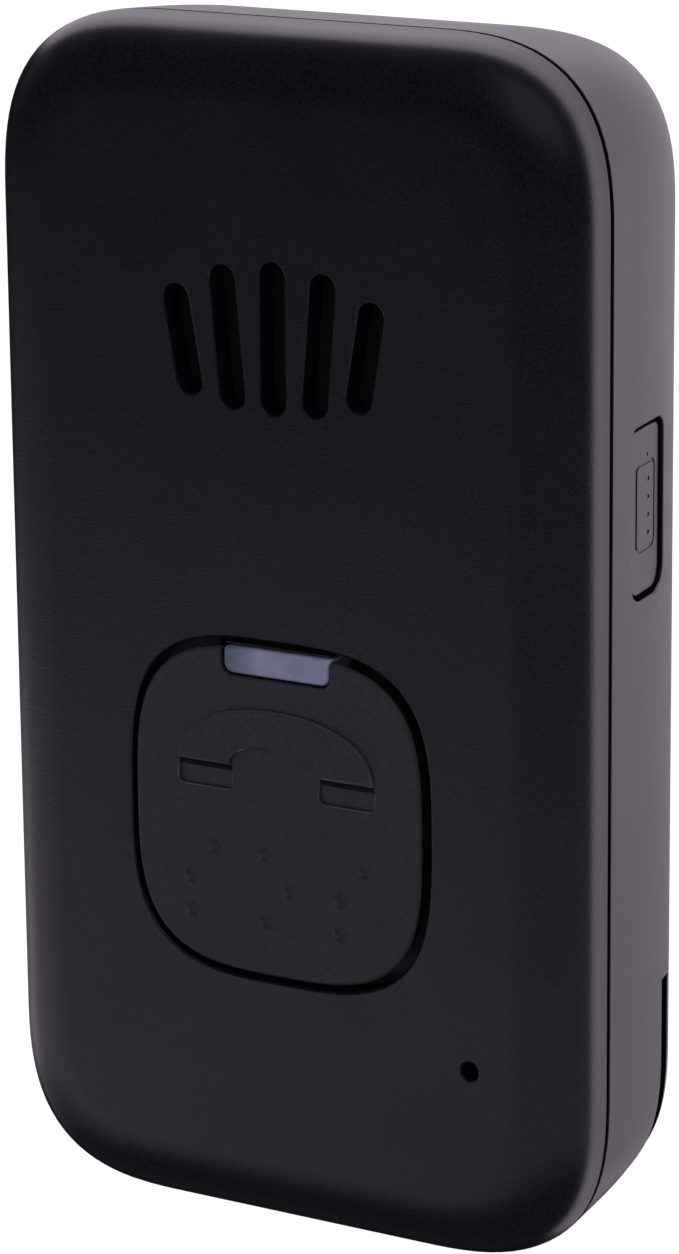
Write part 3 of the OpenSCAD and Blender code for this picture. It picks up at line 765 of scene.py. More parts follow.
@dataclass(frozen=True)
class Moulded(Finish):
    """Moulded plastic or rubber with an eroded grain, handling patches and lighter edges, which are wear on
    most pieces and a painted highlight on the raised signs.
    """

    grain: float = 0.0002
    grain_depth: float = 0.000007
    tone: Flat = (0.72, 1.28)
    patch: float = 0.012
    patch_spread: float = 0.04
    edge_wear_and_highlight: float = 0.35
    worn_and_highlight_tone: float = 1.9
    polish: float = 0.12
    shine: float = 0.5

    def dress(self, wiring: Wiring) -> None:
        """Joins the grain, patches and edges to the surface.

        Args:
            wiring: Wiring of the material's tree.
        """
        shader = wiring.surface({"Specular IOR Level": self.shine})
        grain = wiring.group(SurfaceGroups.moulded_grain(), {"Scale": 1 / self.grain})
        patches = wiring.group(SurfaceGroups.handling(), {"Scale": 1 / self.patch})
        edges = wiring.group(SurfaceGroups.worn_and_highlight_edges(), {"Amount": self.edge_wear_and_highlight})
        dark, pale = self.tone
        body = wiring.tint(grain.outputs["Tone"], shaded(self.colour, dark), shaded(self.colour, pale))
        # Lighter edges: wear on most pieces, a painted highlight on the raised signs
        worn_and_highlight_tone = wiring.tint(edges.outputs["Mask"], body, shaded(self.colour, self.worn_and_highlight_tone))
        wiring.join(worn_and_highlight_tone, shader.inputs["Base Color"])
        half = self.patch_spread / 2
        rough = wiring.spread(patches.outputs["Mask"], WHOLE,
                              (self.roughness + half, self.roughness - half))
        polished = wiring.product(edges.outputs["Mask"], self.polish)
        wiring.join(wiring.math("SUBTRACT", rough, polished), shader.inputs["Roughness"])
        wiring.relief(grain.outputs["Height"], self.grain_depth, shader)


@dataclass(frozen=True)
class Metal(Finish):
    """Drawn, rolled or plated metal with fine lines and a dull patch here and there."""

    line: float = 0.0001
    line_depth: float = 0.000002
    line_rough: Flat = (-0.05, 0.08)
    patch: float = 0.0025
    tarnish: float = 0.72

    def dress(self, wiring: Wiring) -> None:
        """Joins the lines and the dull patches to the surface.

        Args:
            wiring: Wiring of the material's tree.
        """
        shader = wiring.surface({"Metallic": 1.0})
        lines = wiring.group(SurfaceGroups.drawn_lines(), {"Scale": 1 / self.line})
        patches = wiring.group(SurfaceGroups.handling(), {"Scale": 1 / self.patch})
        dull = wiring.tint(patches.outputs["Mask"], self.colour, shaded(self.colour, self.tarnish))
        wiring.join(dull, shader.inputs["Base Color"])
        low, high = self.line_rough
        rough = wiring.spread(lines.outputs["Mask"], WHOLE, (self.roughness + low, self.roughness + high))
        wiring.join(rough, shader.inputs["Roughness"])
        wiring.relief(lines.outputs["Height"], self.line_depth, shader)


@dataclass(frozen=True)
class MilkyLens(Finish):
    """Milky light bar with faint clouds in it, a painted shade that darkens its left end, and a smooth
    moulded face.
    """

    cloud: float = 0.0035
    cloud_tone: Flat = (0.85, 1.15)
    cloud_rough: float = 0.06
    grain_scale: float = 9000.0
    grain_depth: float = 0.000001
    # Span along the width, in metres, over which a painted shade darkens the left end, and the colour it
    # darkens to
    painted_shade_span: Flat = (-0.0046, -0.0012)
    painted_shade_colour: Colour = (0.035, 0.06, 0.1)

    def dress(self, wiring: Wiring) -> None:
        """Joins the clouds and the painted shade at the left end to the surface.

        Args:
            wiring: Wiring of the material's tree.
        """
        shader = wiring.surface({"Subsurface Weight": 0.25, "Subsurface Radius": (1.0, 0.9, 1.1),
                                 "Subsurface Scale": 0.0006, "Coat Weight": 0.25, "Coat Roughness": 0.2})
        clouds = wiring.group(SurfaceGroups.handling(), {"Scale": 1 / self.cloud}).outputs["Mask"]
        grain = wiring.group(SurfaceGroups.moulded_grain(), {"Scale": self.grain_scale})
        axes = wiring.on_piece("ShaderNodeSeparateXYZ", {})
        dark, pale = self.cloud_tone
        milky = wiring.tint(clouds, shaded(self.colour, dark), shaded(self.colour, pale))
        # Painted shade: the bar darkens towards a dull blue at its left end
        painted_shade = wiring.ease(axes.outputs["X"], (self.painted_shade_span, (1.0, 0.0)))
        wiring.join(wiring.tint(painted_shade, milky, self.painted_shade_colour), shader.inputs["Base Color"])
        rough = wiring.spread(clouds, WHOLE, (self.roughness, self.roughness + self.cloud_rough))
        wiring.join(rough, shader.inputs["Roughness"])
        wiring.relief(grain.outputs["Height"], self.grain_depth, shader)


@dataclass(frozen=True)
class Woven(Finish):
    """Fine woven dust mesh: two crossed sets of threads."""

    thread: float = 0.00018
    thread_depth: float = 0.00005
    hole_tone: float = 0.25
    hole_rough: float = 0.15

    def dress(self, wiring: Wiring) -> None:
        """Joins the crossed threads to the surface.

        Args:
            wiring: Wiring of the material's tree.
        """
        shader = wiring.surface({"Specular IOR Level": 0.3})
        waves = {"Scale": 1 / self.thread / math.tau, "Distortion": 0.3}
        across = wiring.on_piece("ShaderNodeTexWave", waves, bands_direction="X")
        along = wiring.on_piece("ShaderNodeTexWave", waves, bands_direction="Z")
        top = wiring.math("MAXIMUM", across.outputs["Fac"], along.outputs["Fac"])
        thread = wiring.tint(top, shaded(self.colour, self.hole_tone), self.colour)
        wiring.join(thread, shader.inputs["Base Color"])
        rough = wiring.spread(top, WHOLE, (self.roughness + self.hole_rough, self.roughness))
        wiring.join(rough, shader.inputs["Roughness"])
        wiring.relief(top, self.thread_depth, shader)


@dataclass(frozen=True)
class SolderMask(Finish):
    """Circuit board with tracks that show through its lacquer."""

    track: float = 0.0018
    track_edge: Flat = (0.05, 0.09)
    track_tone: float = 1.8
    track_depth: float = 0.00002
    patch_scale: float = 300.0
    patch_rough: float = 0.1

    def dress(self, wiring: Wiring) -> None:
        """Joins the tracks to the surface.

        Args:
            wiring: Wiring of the material's tree.
        """
        shader = wiring.surface({"Coat Weight": 0.3, "Coat Roughness": 0.15})
        grid = wiring.on_piece("ShaderNodeTexVoronoi", {"Scale": 1 / self.track, "Randomness": 0.85},
                              feature="DISTANCE_TO_EDGE")
        track = wiring.spread(grid.outputs["Distance"], self.track_edge, (1.0, 0.0))
        colour = wiring.tint(track, self.colour, shaded(self.colour, self.track_tone))
        wiring.join(colour, shader.inputs["Base Color"])
        patches = wiring.group(SurfaceGroups.handling(), {"Scale": self.patch_scale})
        rough = wiring.spread(patches.outputs["Mask"], WHOLE,
                              (self.roughness, self.roughness + self.patch_rough))
        wiring.join(rough, shader.inputs["Roughness"])
        wiring.relief(track, self.track_depth, shader)


SHELL = Moulded("shell", (0.0023, 0.0026, 0.0057), 0.26, grain=0.00018, tone=(0.1, 2.1))
BUTTON = Moulded("button", (0.0132, 0.0128, 0.0185), 0.5, tone=(0.6, 1.4), patch=0.009, edge_wear_and_highlight=0.55)
# Finish of the raised signs: the strong lightening along their edges is a painted highlight
SIGN_WITH_PAINTED_HIGHLIGHT = Moulded("sign", BUTTON.colour, BUTTON.roughness, slot="button", tone=BUTTON.tone, patch=BUTTON.patch,
               edge_wear_and_highlight=1.0, worn_and_highlight_tone=6.0)
SIDE_KEY = Moulded("side_key", (0.004, 0.004, 0.005), 0.28)
LENS = MilkyLens("lens", (0.155, 0.158, 0.25), 0.28)
LED = Moulded("led", (0.8, 0.78, 0.7), 0.2, grain_depth=0.0000005, edge_wear_and_highlight=0.0)
RUBBER = Moulded("rubber", (0.012, 0.012, 0.013), 0.7, edge_wear_and_highlight=0.0)
STEEL = Metal("steel", (0.5, 0.51, 0.53), 0.3)
SPEAKER_STEEL = Moulded("speaker_steel", (0.07, 0.07, 0.08), 0.4, grain_depth=0.000002)
CONTACT_METAL = Metal("contact_metal", (0.72, 0.5, 0.18), 0.25)
COPPER = Metal("copper", (0.62, 0.24, 0.09), 0.3)
MESH = Woven("mesh", (0.003, 0.003, 0.0033), 0.75)
CONE_FILM = Moulded("cone_film", (0.27, 0.24, 0.17), 0.45, edge_wear_and_highlight=0.0)
BOARD = SolderMask("board", (0.02, 0.11, 0.05), 0.3)
CHIP = Moulded("chip", (0.018, 0.02, 0.022), 0.55, grain=0.0001)
SWITCH_BODY = Moulded("switch_body", (0.04, 0.04, 0.042), 0.5)
SWITCH_PLUNGER = Moulded("switch_plunger", (0.26, 0.03, 0.025), 0.45)
CELL_WRAP = Moulded("cell_wrap", (0.045, 0.06, 0.08), 0.35, grain=0.0006, grain_depth=0.00001, patch=0.006)


def enter(piece: Piece, body: str, finish: Finish, *nodes: str) -> None:
    """Gives a piece its finish, hangs it on its body and hides the CAD nodes that it stands for.

    Args:
        piece: The new piece.
        body: Body that it moves with.
        finish: Finish of its one material.
        *nodes: CAD nodes that it stands for.
    """
    piece.data.materials.clear()
    piece.data.materials.append(finish.material())
    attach(piece, body)
    if nodes:
        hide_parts(*nodes)
    LOG.info("%s: %d faces, rides on %s", piece.name, len(piece.data.polygons), body)


# Sub-assemblies


@dataclass(frozen=True)
class BodyForm:
    """Outer form that both shells and the door share, in millimetres."""

    width: float
    height: float
    depth: float
    corner_reach: float = 13.4
    corner_least: float = 1.0
    corner_power: float = 2.85
    corner_steps: int = 26
    front_rise: float = 4.35
    front_inset: float = 5.5
    front_steps: int = 28
    edge_power: float = 2.35
    groove: float = 0.45
    groove_edge: float = 0.1
    belly: float = 0.95
    belly_height: float = 9.0
    belly_steps: int = 14
    back_fillet: float = 0.8
    fillet_steps: int = 7
    side_lean: float = 1.0
    wall: float = 1.8

    @classmethod
    def from_frame(cls, bench: Bench) -> "BodyForm":
        """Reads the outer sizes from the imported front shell."""
        low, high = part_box("front_shell")
        return cls((high.x - low.x) / MM, (high.z - low.z) / MM, bench.front_of("front_shell"))

    @property
    def parting(self) -> float:
        """Level of the parting groove's middle."""
        return self.depth - self.front_rise

    @property
    def front_inside(self) -> float:
        """Level of the inner face of the front wall."""
        return self.depth - self.wall

    def outline(self, inset: float) -> list[Flat]:
        """Draws the body's outline.

        Args:
            inset: Distance that it moves in all round.

        Returns:
            The points of the outline.
        """
        reach = max(self.corner_reach - inset, self.corner_least)
        return soft_outline(self.width / 2 - inset, self.height / 2 - inset, reach, reach,
                            self.corner_power, self.corner_steps)

    def ring(self, inset: float, out: float) -> list[Spot]:
        """Sets the outline at one level."""
        return level(self.outline(inset), out)

    @staticmethod
    def soft_share(out: float, reach: float) -> float:
        """Gives the share of a soft edge that is left at a level."""
        return 1 - math.sqrt(1 - (1 - out / reach) ** 2) if out < reach else 0.0

    def rear_inset(self, out: float) -> float:
        """Gives the inset of the rear wall.

        Args:
            out: Level on the wall.

        Returns:
            The inset from the body's widest outline.
        """
        lean = self.side_lean * (1 - out / self.parting)
        belly = self.belly * self.soft_share(out, self.belly_height)
        return lean + belly + self.back_fillet * self.soft_share(out, self.back_fillet)

    def side_wall(self, out: float) -> float:
        """Gives how far to the right the side wall stands at a level."""
        return self.width / 2 - self.rear_inset(out)

    def rear_rings(self) -> list[list[Spot]]:
        """Lists the rings of the rear wall.

        Returns:
            The rings, from the back face to the groove's edge.
        """
        top = self.parting - self.groove / 2
        rise = self.belly_height - self.back_fillet
        levels = [self.back_fillet * (1 - math.cos(QUARTER * i / self.fillet_steps))
                  for i in range(self.fillet_steps + 1)]
        levels += [self.back_fillet + rise * i / self.belly_steps for i in range(1, self.belly_steps + 1)]
        rings = [self.ring(self.rear_inset(out), out) for out in levels]
        for inset, drop in edge_profile(self.groove_edge):
            rings.append(self.ring(self.rear_inset(top - drop) + inset, top - drop))
        return rings

    def front_rings(self) -> list[list[Spot]]:
        """Lists the rings of the rounded front.

        Returns:
            The rings, from the groove's edge to the front face.
        """
        low = self.parting + self.groove / 2
        rings = [self.ring(inset, low + drop) for inset, drop in reversed(edge_profile(self.groove_edge))]
        for across, up in quarter_curve(self.edge_power, self.front_steps):
            out = self.parting + self.front_rise * up
            if out > low + 2 * self.groove_edge:
                rings.append(self.ring(self.front_inset * (1 - across), out))
        return rings


@dataclass
class Housing:
    """Both shells with their openings, and the lanyard bar and the screws that sit in them."""

    bench: Bench
    form: BodyForm
    inner_steps: int = 8
    inner_foot: float = 0.7
    inner_root: float = 0.5
    lip_inset: float = 1.1
    lip_rise: float = 0.9
    lip_gap: float = 0.15
    seal: float = 0.5
    slots: int = 5
    slot_width: float = 1.95
    slot_length: float = 8.5
    slot_turn: float = 5.0
    slot_radius: float = 41.0
    slot_spread: float = 2.7
    slot_rim: float = 0.12
    speaker_up: float = 21.5
    opening: Flat = (23.9, 24.5)
    opening_power: float = 3.3
    opening_steps: int = 22
    opening_up: float = -11.75
    opening_rim: float = 0.18
    ledge: Flat = (0.5, 0.7)
    ledge_root: float = 0.3
    ledge_lip: Flat = (0.07, 1.65)
    microphone: Flat = (14.9, -27.8)
    microphone_hole: float = 1.35
    door_step: float = 1.3
    seat: float = 1.5
    seat_rim: float = 0.12
    pocket: Flat = (14.0, 10.4)
    pocket_depth: float = 5.2
    pocket_wall: float = 1.3
    pocket_corner: float = 1.2
    pocket_rim: float = 0.35
    bar_up: float = 31.5
    bar_out: float = 1.6
    bar_hole: float = 1.9
    bar_stop: float = 0.3
    bar_edge: float = 0.2
    screw_well: float = 3.8
    well_rim: float = 0.15
    screw_seat: float = 5.0
    screw_hole: float = 2.2
    boss: float = 5.2
    boss_top: float = 9.7
    screw_head: float = 1.3
    screw_crown: tuple[Flat, ...] = ((0.9, 0.0), (1.3, 0.06), (1.58, 0.22), (1.7, 0.5))
    screw_shank: float = 1.0
    screw_point: Flat = (0.5, 0.6)
    screw_clear: float = 1.0
    recess: Flat = (2.0, 0.55)
    recess_depth: float = 0.75
    screws: tuple[Flat, ...] = ((16.1, 33.8), (-16.1, 33.8), (9.5, -37.4), (-9.5, -37.4))

    def soft_square(self, inset: float) -> list[Flat]:
        """Draws the call button's soft square.

        Args:
            inset: Distance that it moves in all round.

        Returns:
            The points of the outline.
        """
        half_u, half_v = self.opening[0] / 2 - inset, self.opening[1] / 2 - inset
        square = soft_outline(half_u, half_v, half_u, half_v, self.opening_power, self.opening_steps)
        return shifted(square, (0.0, self.opening_up))

    def slot_outline(self, index: int, grow: float) -> list[Flat]:
        """Draws one speaker slot.

        Args:
            index: Place of the slot, counted to the right from the middle one.
            grow: Distance that its outline moves out.

        Returns:
            The points of the outline.
        """
        lean = -math.radians(self.slot_turn * index)
        reach = self.slot_length * math.sqrt(1 - (index / self.slot_spread) ** 2)
        radius = self.slot_width / 2 + grow
        capsule = soft_outline(radius, reach / 2 + radius, radius, radius)
        raised = shifted(capsule, (0.0, self.slot_radius))
        return shifted(raised, (0.0, self.speaker_up - self.slot_radius), lean)

    def front_hole(self, name: str, outline: Callable[[float], list[Flat]], rim: float) -> Piece:
        """Builds the cutter of a hole through the front wall.

        Args:
            name: Name of the cutter.
            outline: Gives the hole's outline, moved out by a distance.
            rim: Radius of its rounded mouth.

        Returns:
            The cutter.
        """
        floor = self.form.front_inside - OVERRUN
        return mouth_cutter(name, self.bench, outline, floor, self.form.depth, rim, Facing.FRONT)

    def build_front(self, lens: "LightBar") -> None:
        """Builds the front shell with its slots, opening, ledge and sound hole.

        Args:
            lens: Light bar whose foot the ledge covers.
        """
        form = self.form
        inside_rise = form.front_inside - form.parting
        seal_top = form.parting + self.lip_rise + self.seal
        lowest = math.asin((seal_top - form.parting) / inside_rise)
        rings = []
        for step in range(self.inner_steps + 1):
            turn = QUARTER + (lowest - QUARTER) * step / self.inner_steps
            rings.append(form.ring(form.wall + (form.front_inset - form.wall) * (1 - math.cos(turn)),
                                   form.parting + inside_rise * math.sin(turn)))
        rebate = self.lip_inset - self.lip_gap
        rings += [form.ring(rebate, seal_top), form.ring(rebate, form.parting + form.groove / 2)]
        shell = lofted("housing_front", self.bench, rings + form.front_rings())
        half = self.slots // 2
        for index in range(-half, half + 1):
            cut(shell, self.front_hole("slot", lambda grow: self.slot_outline(index, grow), self.slot_rim))
        cut(shell, self.front_hole("opening", lambda grow: self.soft_square(-grow), self.opening_rim))
        unite(shell, *self.ledge_blocks(lens))
        cut(shell, self.front_hole("sound_hole",
                                   lambda grow: shifted(disc(self.microphone_hole, grow), self.microphone),
                                   self.slot_rim))
        smooth(shell)
        enter(shell, "housing", SHELL, "front_shell")

    def ledge_blocks(self, lens: "LightBar") -> list[Piece]:
        """Builds the ledge over the light bar's foot, and the thin lip along its edge.

        Args:
            lens: Light bar that they cover.

        Returns:
            The ledge and the lip.
        """
        inside = self.form.front_inside
        opening_top = self.opening_up + self.opening[1] / 2
        reach, thick = self.ledge
        lip, lip_rise = self.ledge_lip
        ledge = brick("ledge", self.bench, (0.0, opening_top + (self.ledge_root - reach) / 2),
                      (lens.foot_width + 2 * self.lip_gap, reach + self.ledge_root),
                      inside + self.lip_gap, inside + thick)
        edge = brick("ledge_lip", self.bench, ((lens.left + lens.right) / 2, opening_top - reach + lip / 2),
                     (lens.right - lens.left, lip), inside + 2 * self.lip_gap, inside + lip_rise)
        return [ledge, edge]

    def rear_blank(self, name: str) -> Piece:
        """Builds the closed outer form of the rear, up to the lip.

        Args:
            name: Name of the new object.

        Returns:
            The new object.
        """
        form = self.form
        rings = form.rear_rings()
        rings.append(form.ring(self.lip_inset, form.parting - form.groove / 2))
        rings.append(form.ring(self.lip_inset, form.parting + self.lip_rise))
        return lofted(name, self.bench, rings)

    def hollow(self, battery: "BatteryUnit") -> Piece:
        """Builds the space inside the rear shell, less the walls that stand in it.

        Args:
            battery: Battery whose bay stands in the space.

        Returns:
            The cutter of the space.
        """
        form = self.form
        floor = self.door_step + self.seat
        above = floor + self.inner_foot
        rings = [form.ring(form.rear_inset(floor) + form.wall + self.inner_foot, floor)]
        for out in (above, (above + form.belly_height) / 2, form.belly_height):
            rings.append(form.ring(form.rear_inset(out) + form.wall, out))
        for out in (form.parting, form.parting + self.lip_rise + OVERRUN):
            rings.append(form.ring(form.wall, out))
        space = lofted("space", self.bench, rings)
        root = floor - self.inner_root
        for name, middle, inner, wall, deep in (
                ("bay", battery.middle, battery.bay, battery.bay_wall, battery.bay_floor),
                ("pocket", (0.0, self.bar_up), self.pocket, self.pocket_wall, self.pocket_depth)):
            size = (inner[0] + 2 * wall, inner[1] + 2 * wall)
            cut(space, brick(name, self.bench, middle, size, root, deep + wall))
        for spot in self.screws:
            cut(space, column("boss", self.bench, shifted(disc(self.boss), spot), root, self.boss_top))
        return space

    def side_mouth(self, side: "SideKey") -> Piece:
        """Builds the cutter of the side button's opening, with a rim that follows the wall.

        Args:
            side: Side button that goes through it.

        Returns:
            The cutter.
        """
        rings = []
        for grow, rise in [(0.0, -side.depth), *mouth_profile(side.rim)]:
            outline = side.outline(side.gap + grow)
            rings.append([(self.form.side_wall(out) + rise, up, out) for up, out in outline])
        return lofted("side_opening", self.bench, rings)

    def pocket_outline(self, grow: float) -> list[Flat]:
        """Draws the lanyard pocket, moved out all round."""
        return shifted(round_rect(*self.pocket, self.pocket_corner, grow), (0.0, self.bar_up))

    def rear_hole(self, name: str, outline: Callable[[float], list[Flat]], floor: float, rim: float,
                  face: float = 0.0) -> Piece:
        """Builds the cutter of a hole in the back.

        Args:
            name: Name of the cutter.
            outline: Gives the hole's outline, moved out by a distance.
            floor: Level at which it ends.
            rim: Radius of its rounded mouth.
            face: Level of the face that it opens.

        Returns:
            The cutter.
        """
        return mouth_cutter(name, self.bench, outline, floor, face, rim, Facing.BACK)

    def build_rear(self, battery: "BatteryUnit", side: "SideKey") -> None:
        """Builds the rear shell with its bay, door seat, pocket, wells and side opening.

        Args:
            battery: Battery and door that it takes.
            side: Side button that it takes.
        """
        bench = self.bench
        shell = self.rear_blank("housing_rear")
        bay = shifted(round_rect(*battery.bay, battery.bay_corner), battery.middle)
        cut(shell, self.hollow(battery), column("bay", bench, bay, -OVERRUN, battery.bay_floor),
            self.rear_hole("seat", lambda grow: battery.door_outline(battery.door_gap + grow),
                           self.door_step, self.seat_rim),
            battery.nail_slot(self.form),
            self.rear_hole("pocket", self.pocket_outline, self.pocket_depth, self.pocket_rim),
            self.side_mouth(side))
        tab_top = self.door_step + self.seat + OVERRUN
        for spot in battery.tabs:
            cut(shell, brick("tab", bench, spot, battery.tab_hole, -OVERRUN, tab_top))
        for spot in self.screws:
            face = 0.0 if spot[1] > 0 else self.door_step
            cut(shell, self.rear_hole("well", lambda grow: shifted(disc(self.screw_well, grow), spot),
                                      self.screw_seat, self.well_rim, face),
                column("screw_hole", bench, shifted(disc(self.screw_hole), spot),
                       self.screw_seat - OVERRUN, self.boss_top + OVERRUN))
        half = self.pocket[0] / 2 + self.pocket_wall - self.bar_stop
        bar_ring = shifted(disc(self.bar_hole), (self.bar_up, self.bar_out))
        cut(shell, lofted("bar_hole", bench, [crosswise(bar_ring, end) for end in (-half, half)]))
        smooth(shell)
        enter(shell, "housing", SHELL, "rear_shell")

    def build_bar(self) -> None:
        """Builds the steel lanyard bar with turned-off ends."""
        low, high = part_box("lanyard_bar")
        half, radius = (high.x - low.x) / 2 / MM, (high.z - low.z) / 2 / MM
        short, thin = half - self.bar_edge, radius - self.bar_edge
        middle = (self.bar_up, self.bar_out)
        ends = ((-half, thin), (-short, radius), (short, radius), (half, thin))
        rings = [crosswise(shifted(disc(2 * reach), middle), end) for end, reach in ends]
        bar = lofted("lanyard_pin", self.bench, rings)
        smooth(bar, TURNED_SHARP)
        enter(bar, "housing", STEEL, "lanyard_bar")

    def build_screws(self) -> None:
        """Builds the case screws with domed heads, cross recesses and plain shanks."""
        base = self.screw_seat - self.screw_head
        recess_end = base + self.recess_depth
        tip = self.form.front_inside - self.screw_clear
        point, point_length = self.screw_point
        profile = [(reach, base + rise) for reach, rise in self.screw_crown]
        profile += [(self.screw_crown[-1][0], self.screw_seat), (self.screw_shank, self.screw_seat),
                    (self.screw_shank, tip - point_length), (point, tip)]
        parts = []
        for spot in self.screws:
            rings = [level(shifted(disc(2 * reach), spot), out) for reach, out in profile]
            screw = lofted("screw", self.bench, rings)
            for size in (self.recess, self.recess[::-1]):
                cut(screw, brick("recess", self.bench, spot, size, base - OVERRUN, recess_end))
            parts.append(screw)
        screws = merged("case_screw_set", parts)
        smooth(screws, TURNED_SHARP)
        enter(screws, "housing", STEEL, "case_screws")


@dataclass
class CallKey:
    """The soft square call button with its raised handset, sunken ends and Braille dots."""

    bench: Bench
    housing: Housing
    gap: float = 0.55
    edge: float = 0.25
    edge_steps: int = 8
    sink: float = 0.15
    undercut: float = 0.6
    undercut_rise: float = 1.0
    skirt: float = 1.2
    top: float = 1.6
    flange_reach: float = 0.9
    flange_play: float = 0.4
    flange: float = 0.8
    notch_rim: float = 0.1
    foot_cover: float = 0.8
    stem: float = 4.4
    stem_root: float = 0.3
    sign_height: float = 0.24
    sign_lean: float = 0.02
    sign_edge: float = 0.1
    sign_foot: float = 0.15
    handset_up: float = -8.54
    handset_outer: Flat = (7.75, 4.25)
    handset_inner: Flat = (3.6, 1.55)
    handset_power: float = 2.2
    handset_steps: int = 18
    handset_middle: float = 0.01
    cap_size: Flat = (4.3, 1.75)
    cap_across: float = 5.65
    cap_corners: Flat = (0.1, 0.45)
    cap_depth: float = 0.15
    cap_slope: float = 0.015
    border: float = 0.14
    border_rise: float = 0.05
    border_bevel: float = 0.035
    border_steps: int = 3
    dip: float = 0.5
    dip_floor: float = 0.22
    dip_depth: float = 0.55
    dot: float = 1.25
    dot_height: float = 0.24
    dot_rings: int = 8
    cell_pitch: float = 6.0
    dot_column: float = 0.97
    dot_rows: Spot = (-14.7, -17.13, -19.57)

    @property
    def face(self) -> float:
        """Level of the button's face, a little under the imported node's."""
        return self.bench.front_of("call_button") - self.sink

    @property
    def caps(self) -> Flat:
        """Places of the handset's two sunken ends along the width."""
        return self.handset_middle - self.cap_across, self.handset_middle + self.cap_across

    def build(self, lens: "LightBar") -> None:
        """Builds the button, cut out round the light bar, with its signs.

        Args:
            lens: Light bar that sits in the button's notch.
        """
        inside = self.housing.form.front_inside
        flange_top = inside - self.flange_play
        flange_low = flange_top - self.flange
        under = self.face - self.top
        inner, waist = self.gap + self.skirt, self.gap + self.undercut
        profile = [(inner, under), (inner, flange_low), (-self.flange_reach, flange_low),
                   (-self.flange_reach, flange_top), (waist, flange_top),
                   (waist, self.face - self.edge - self.undercut_rise)]
        for inset, drop in edge_profile(self.edge, self.edge_steps):
            profile.append((self.gap + inset, self.face - drop))
        rings = [level(self.housing.soft_square(inset), out) for inset, out in profile]
        button = lofted("call_key_cap", self.bench, rings)
        cut(button, mouth_cutter("notch", self.bench, lambda grow: lens.outline(lens.gap + grow),
                                 flange_low - OVERRUN, self.face, self.notch_rim, Facing.FRONT))
        cut(button, brick("foot_room", self.bench, (0.0, lens.high), lens.foot_room, flange_low - OVERRUN,
                          inside + self.foot_cover))
        for right in self.caps:
            cut(button, self.cap_hollow(right), self.cap_dip(right))
        stem = shifted(disc(self.stem), (0.0, self.housing.opening_up))
        unite(button, column("stem", self.bench, stem, self.bench.front_of("call_switch_plunger"),
                             under + self.stem_root))
        smooth(button)
        enter(button, "call_key", BUTTON, "call_button")
        self.build_handset()
        self.build_dots()

    def cap_hollow(self, right: float) -> Piece:
        """Builds the cutter of one sunken end of the handset.

        Args:
            right: Place of its middle along the width.

        Returns:
            The cutter.
        """
        half, height = self.cap_size[0] / 2, self.cap_size[1]
        upper, lower = self.cap_corners
        high, low = self.handset_up, self.handset_up - height
        corners = [(right + half, high, upper), (right - half, high, upper),
                   (right - half, low, lower), (right + half, low, lower)]
        floor = level(rounded_outline(corners, -self.cap_slope), self.face - self.cap_depth)
        mouth = rounded_outline(corners, 0.0)
        return lofted("end_cap", self.bench,
                      [floor, level(mouth, self.face), level(mouth, self.face + OVERRUN)])

    def cap_dip(self, right: float) -> Piece:
        """Builds the cutter of the sloped dip at the top of a sunken end, deepest under the grip.

        Args:
            right: Place of its middle along the width.

        Returns:
            The cutter.
        """
        half = self.cap_size[0] / 2 - 2 * self.cap_slope
        high, low = self.handset_up - self.cap_slope, self.handset_up - self.dip
        deepest = self.face - self.dip_depth
        section = [(high, self.face), (high, deepest), (high - self.dip_floor, deepest),
                   (low, self.face - self.cap_depth), (low, self.face)]
        return lofted("dip", self.bench, [crosswise(section, end) for end in (right - half, right + half)])

    def cap_border(self, right: float) -> Piece:
        """Builds the fine raised border round three sides of a sunken end.

        Args:
            right: Place of its middle along the width.

        Returns:
            The border.
        """
        half, corner = self.cap_size[0] / 2, self.cap_corners[1]
        high, low = self.handset_up - self.dip, self.handset_up - self.cap_size[1]
        outer_half, outer_low, outer_corner = half + self.border, low - self.border, corner + self.border
        corners = [(right - outer_half, high, 0.0), (right - outer_half, outer_low, outer_corner),
                   (right + outer_half, outer_low, outer_corner), (right + outer_half, high, 0.0),
                   (right + half, high, 0.0), (right + half, low, corner),
                   (right - half, low, corner), (right - half, high, 0.0)]
        rings = [level(rounded_outline(corners, 0.0), self.face - self.sign_foot)]
        for inset, drop in edge_profile(self.border_rise, self.border_steps):
            rings.append(level(rounded_outline(corners, -inset), self.face + self.border_rise - drop))
        return lofted("end_border", self.bench, rings)

    def raised(self, name: str, corners: Sequence[Spot]) -> Piece:
        """Builds a raised sign with steep walls and a soft edge, rooted in the button's face.

        Args:
            name: Name of the new object.
            corners: Corners of its outline in turn, as right, up and radius.

        Returns:
            The sign.
        """
        rings = [level(rounded_outline(corners, 0.0), self.face - self.sign_foot)]
        top = self.face + self.sign_height
        for inset, drop in edge_profile(self.sign_edge):
            rings.append(level(rounded_outline(corners, -self.sign_lean - inset), top - drop))
        rings.append(level(rounded_outline(corners, -self.sign_lean - 2 * self.sign_edge), top))
        return lofted(name, self.bench, rings)

    def build_handset(self) -> None:
        """Builds the raised grip of the handset, its border and the borders of its ends."""
        quarter = quarter_curve(self.handset_power, self.handset_steps)
        arch = quarter + [(-across, up) for across, up in reversed(quarter[:-1])]
        grip = []
        for reach, curve in ((self.handset_outer, arch), (self.handset_inner, arch[::-1])):
            grip += [(self.handset_middle + reach[0] * across, self.handset_up + reach[1] * up, 0.0)
                     for across, up in curve]
        parts = [self.raised("handset_grip", grip), self.grip_border(arch)]
        parts += [self.cap_border(right) for right in self.caps]
        sign = merged("handset_sign", parts)
        smooth(sign)
        # The grip and the borders take the finish with a painted highlight along their edges
        enter(sign, "call_key", SIGN_WITH_PAINTED_HIGHLIGHT)

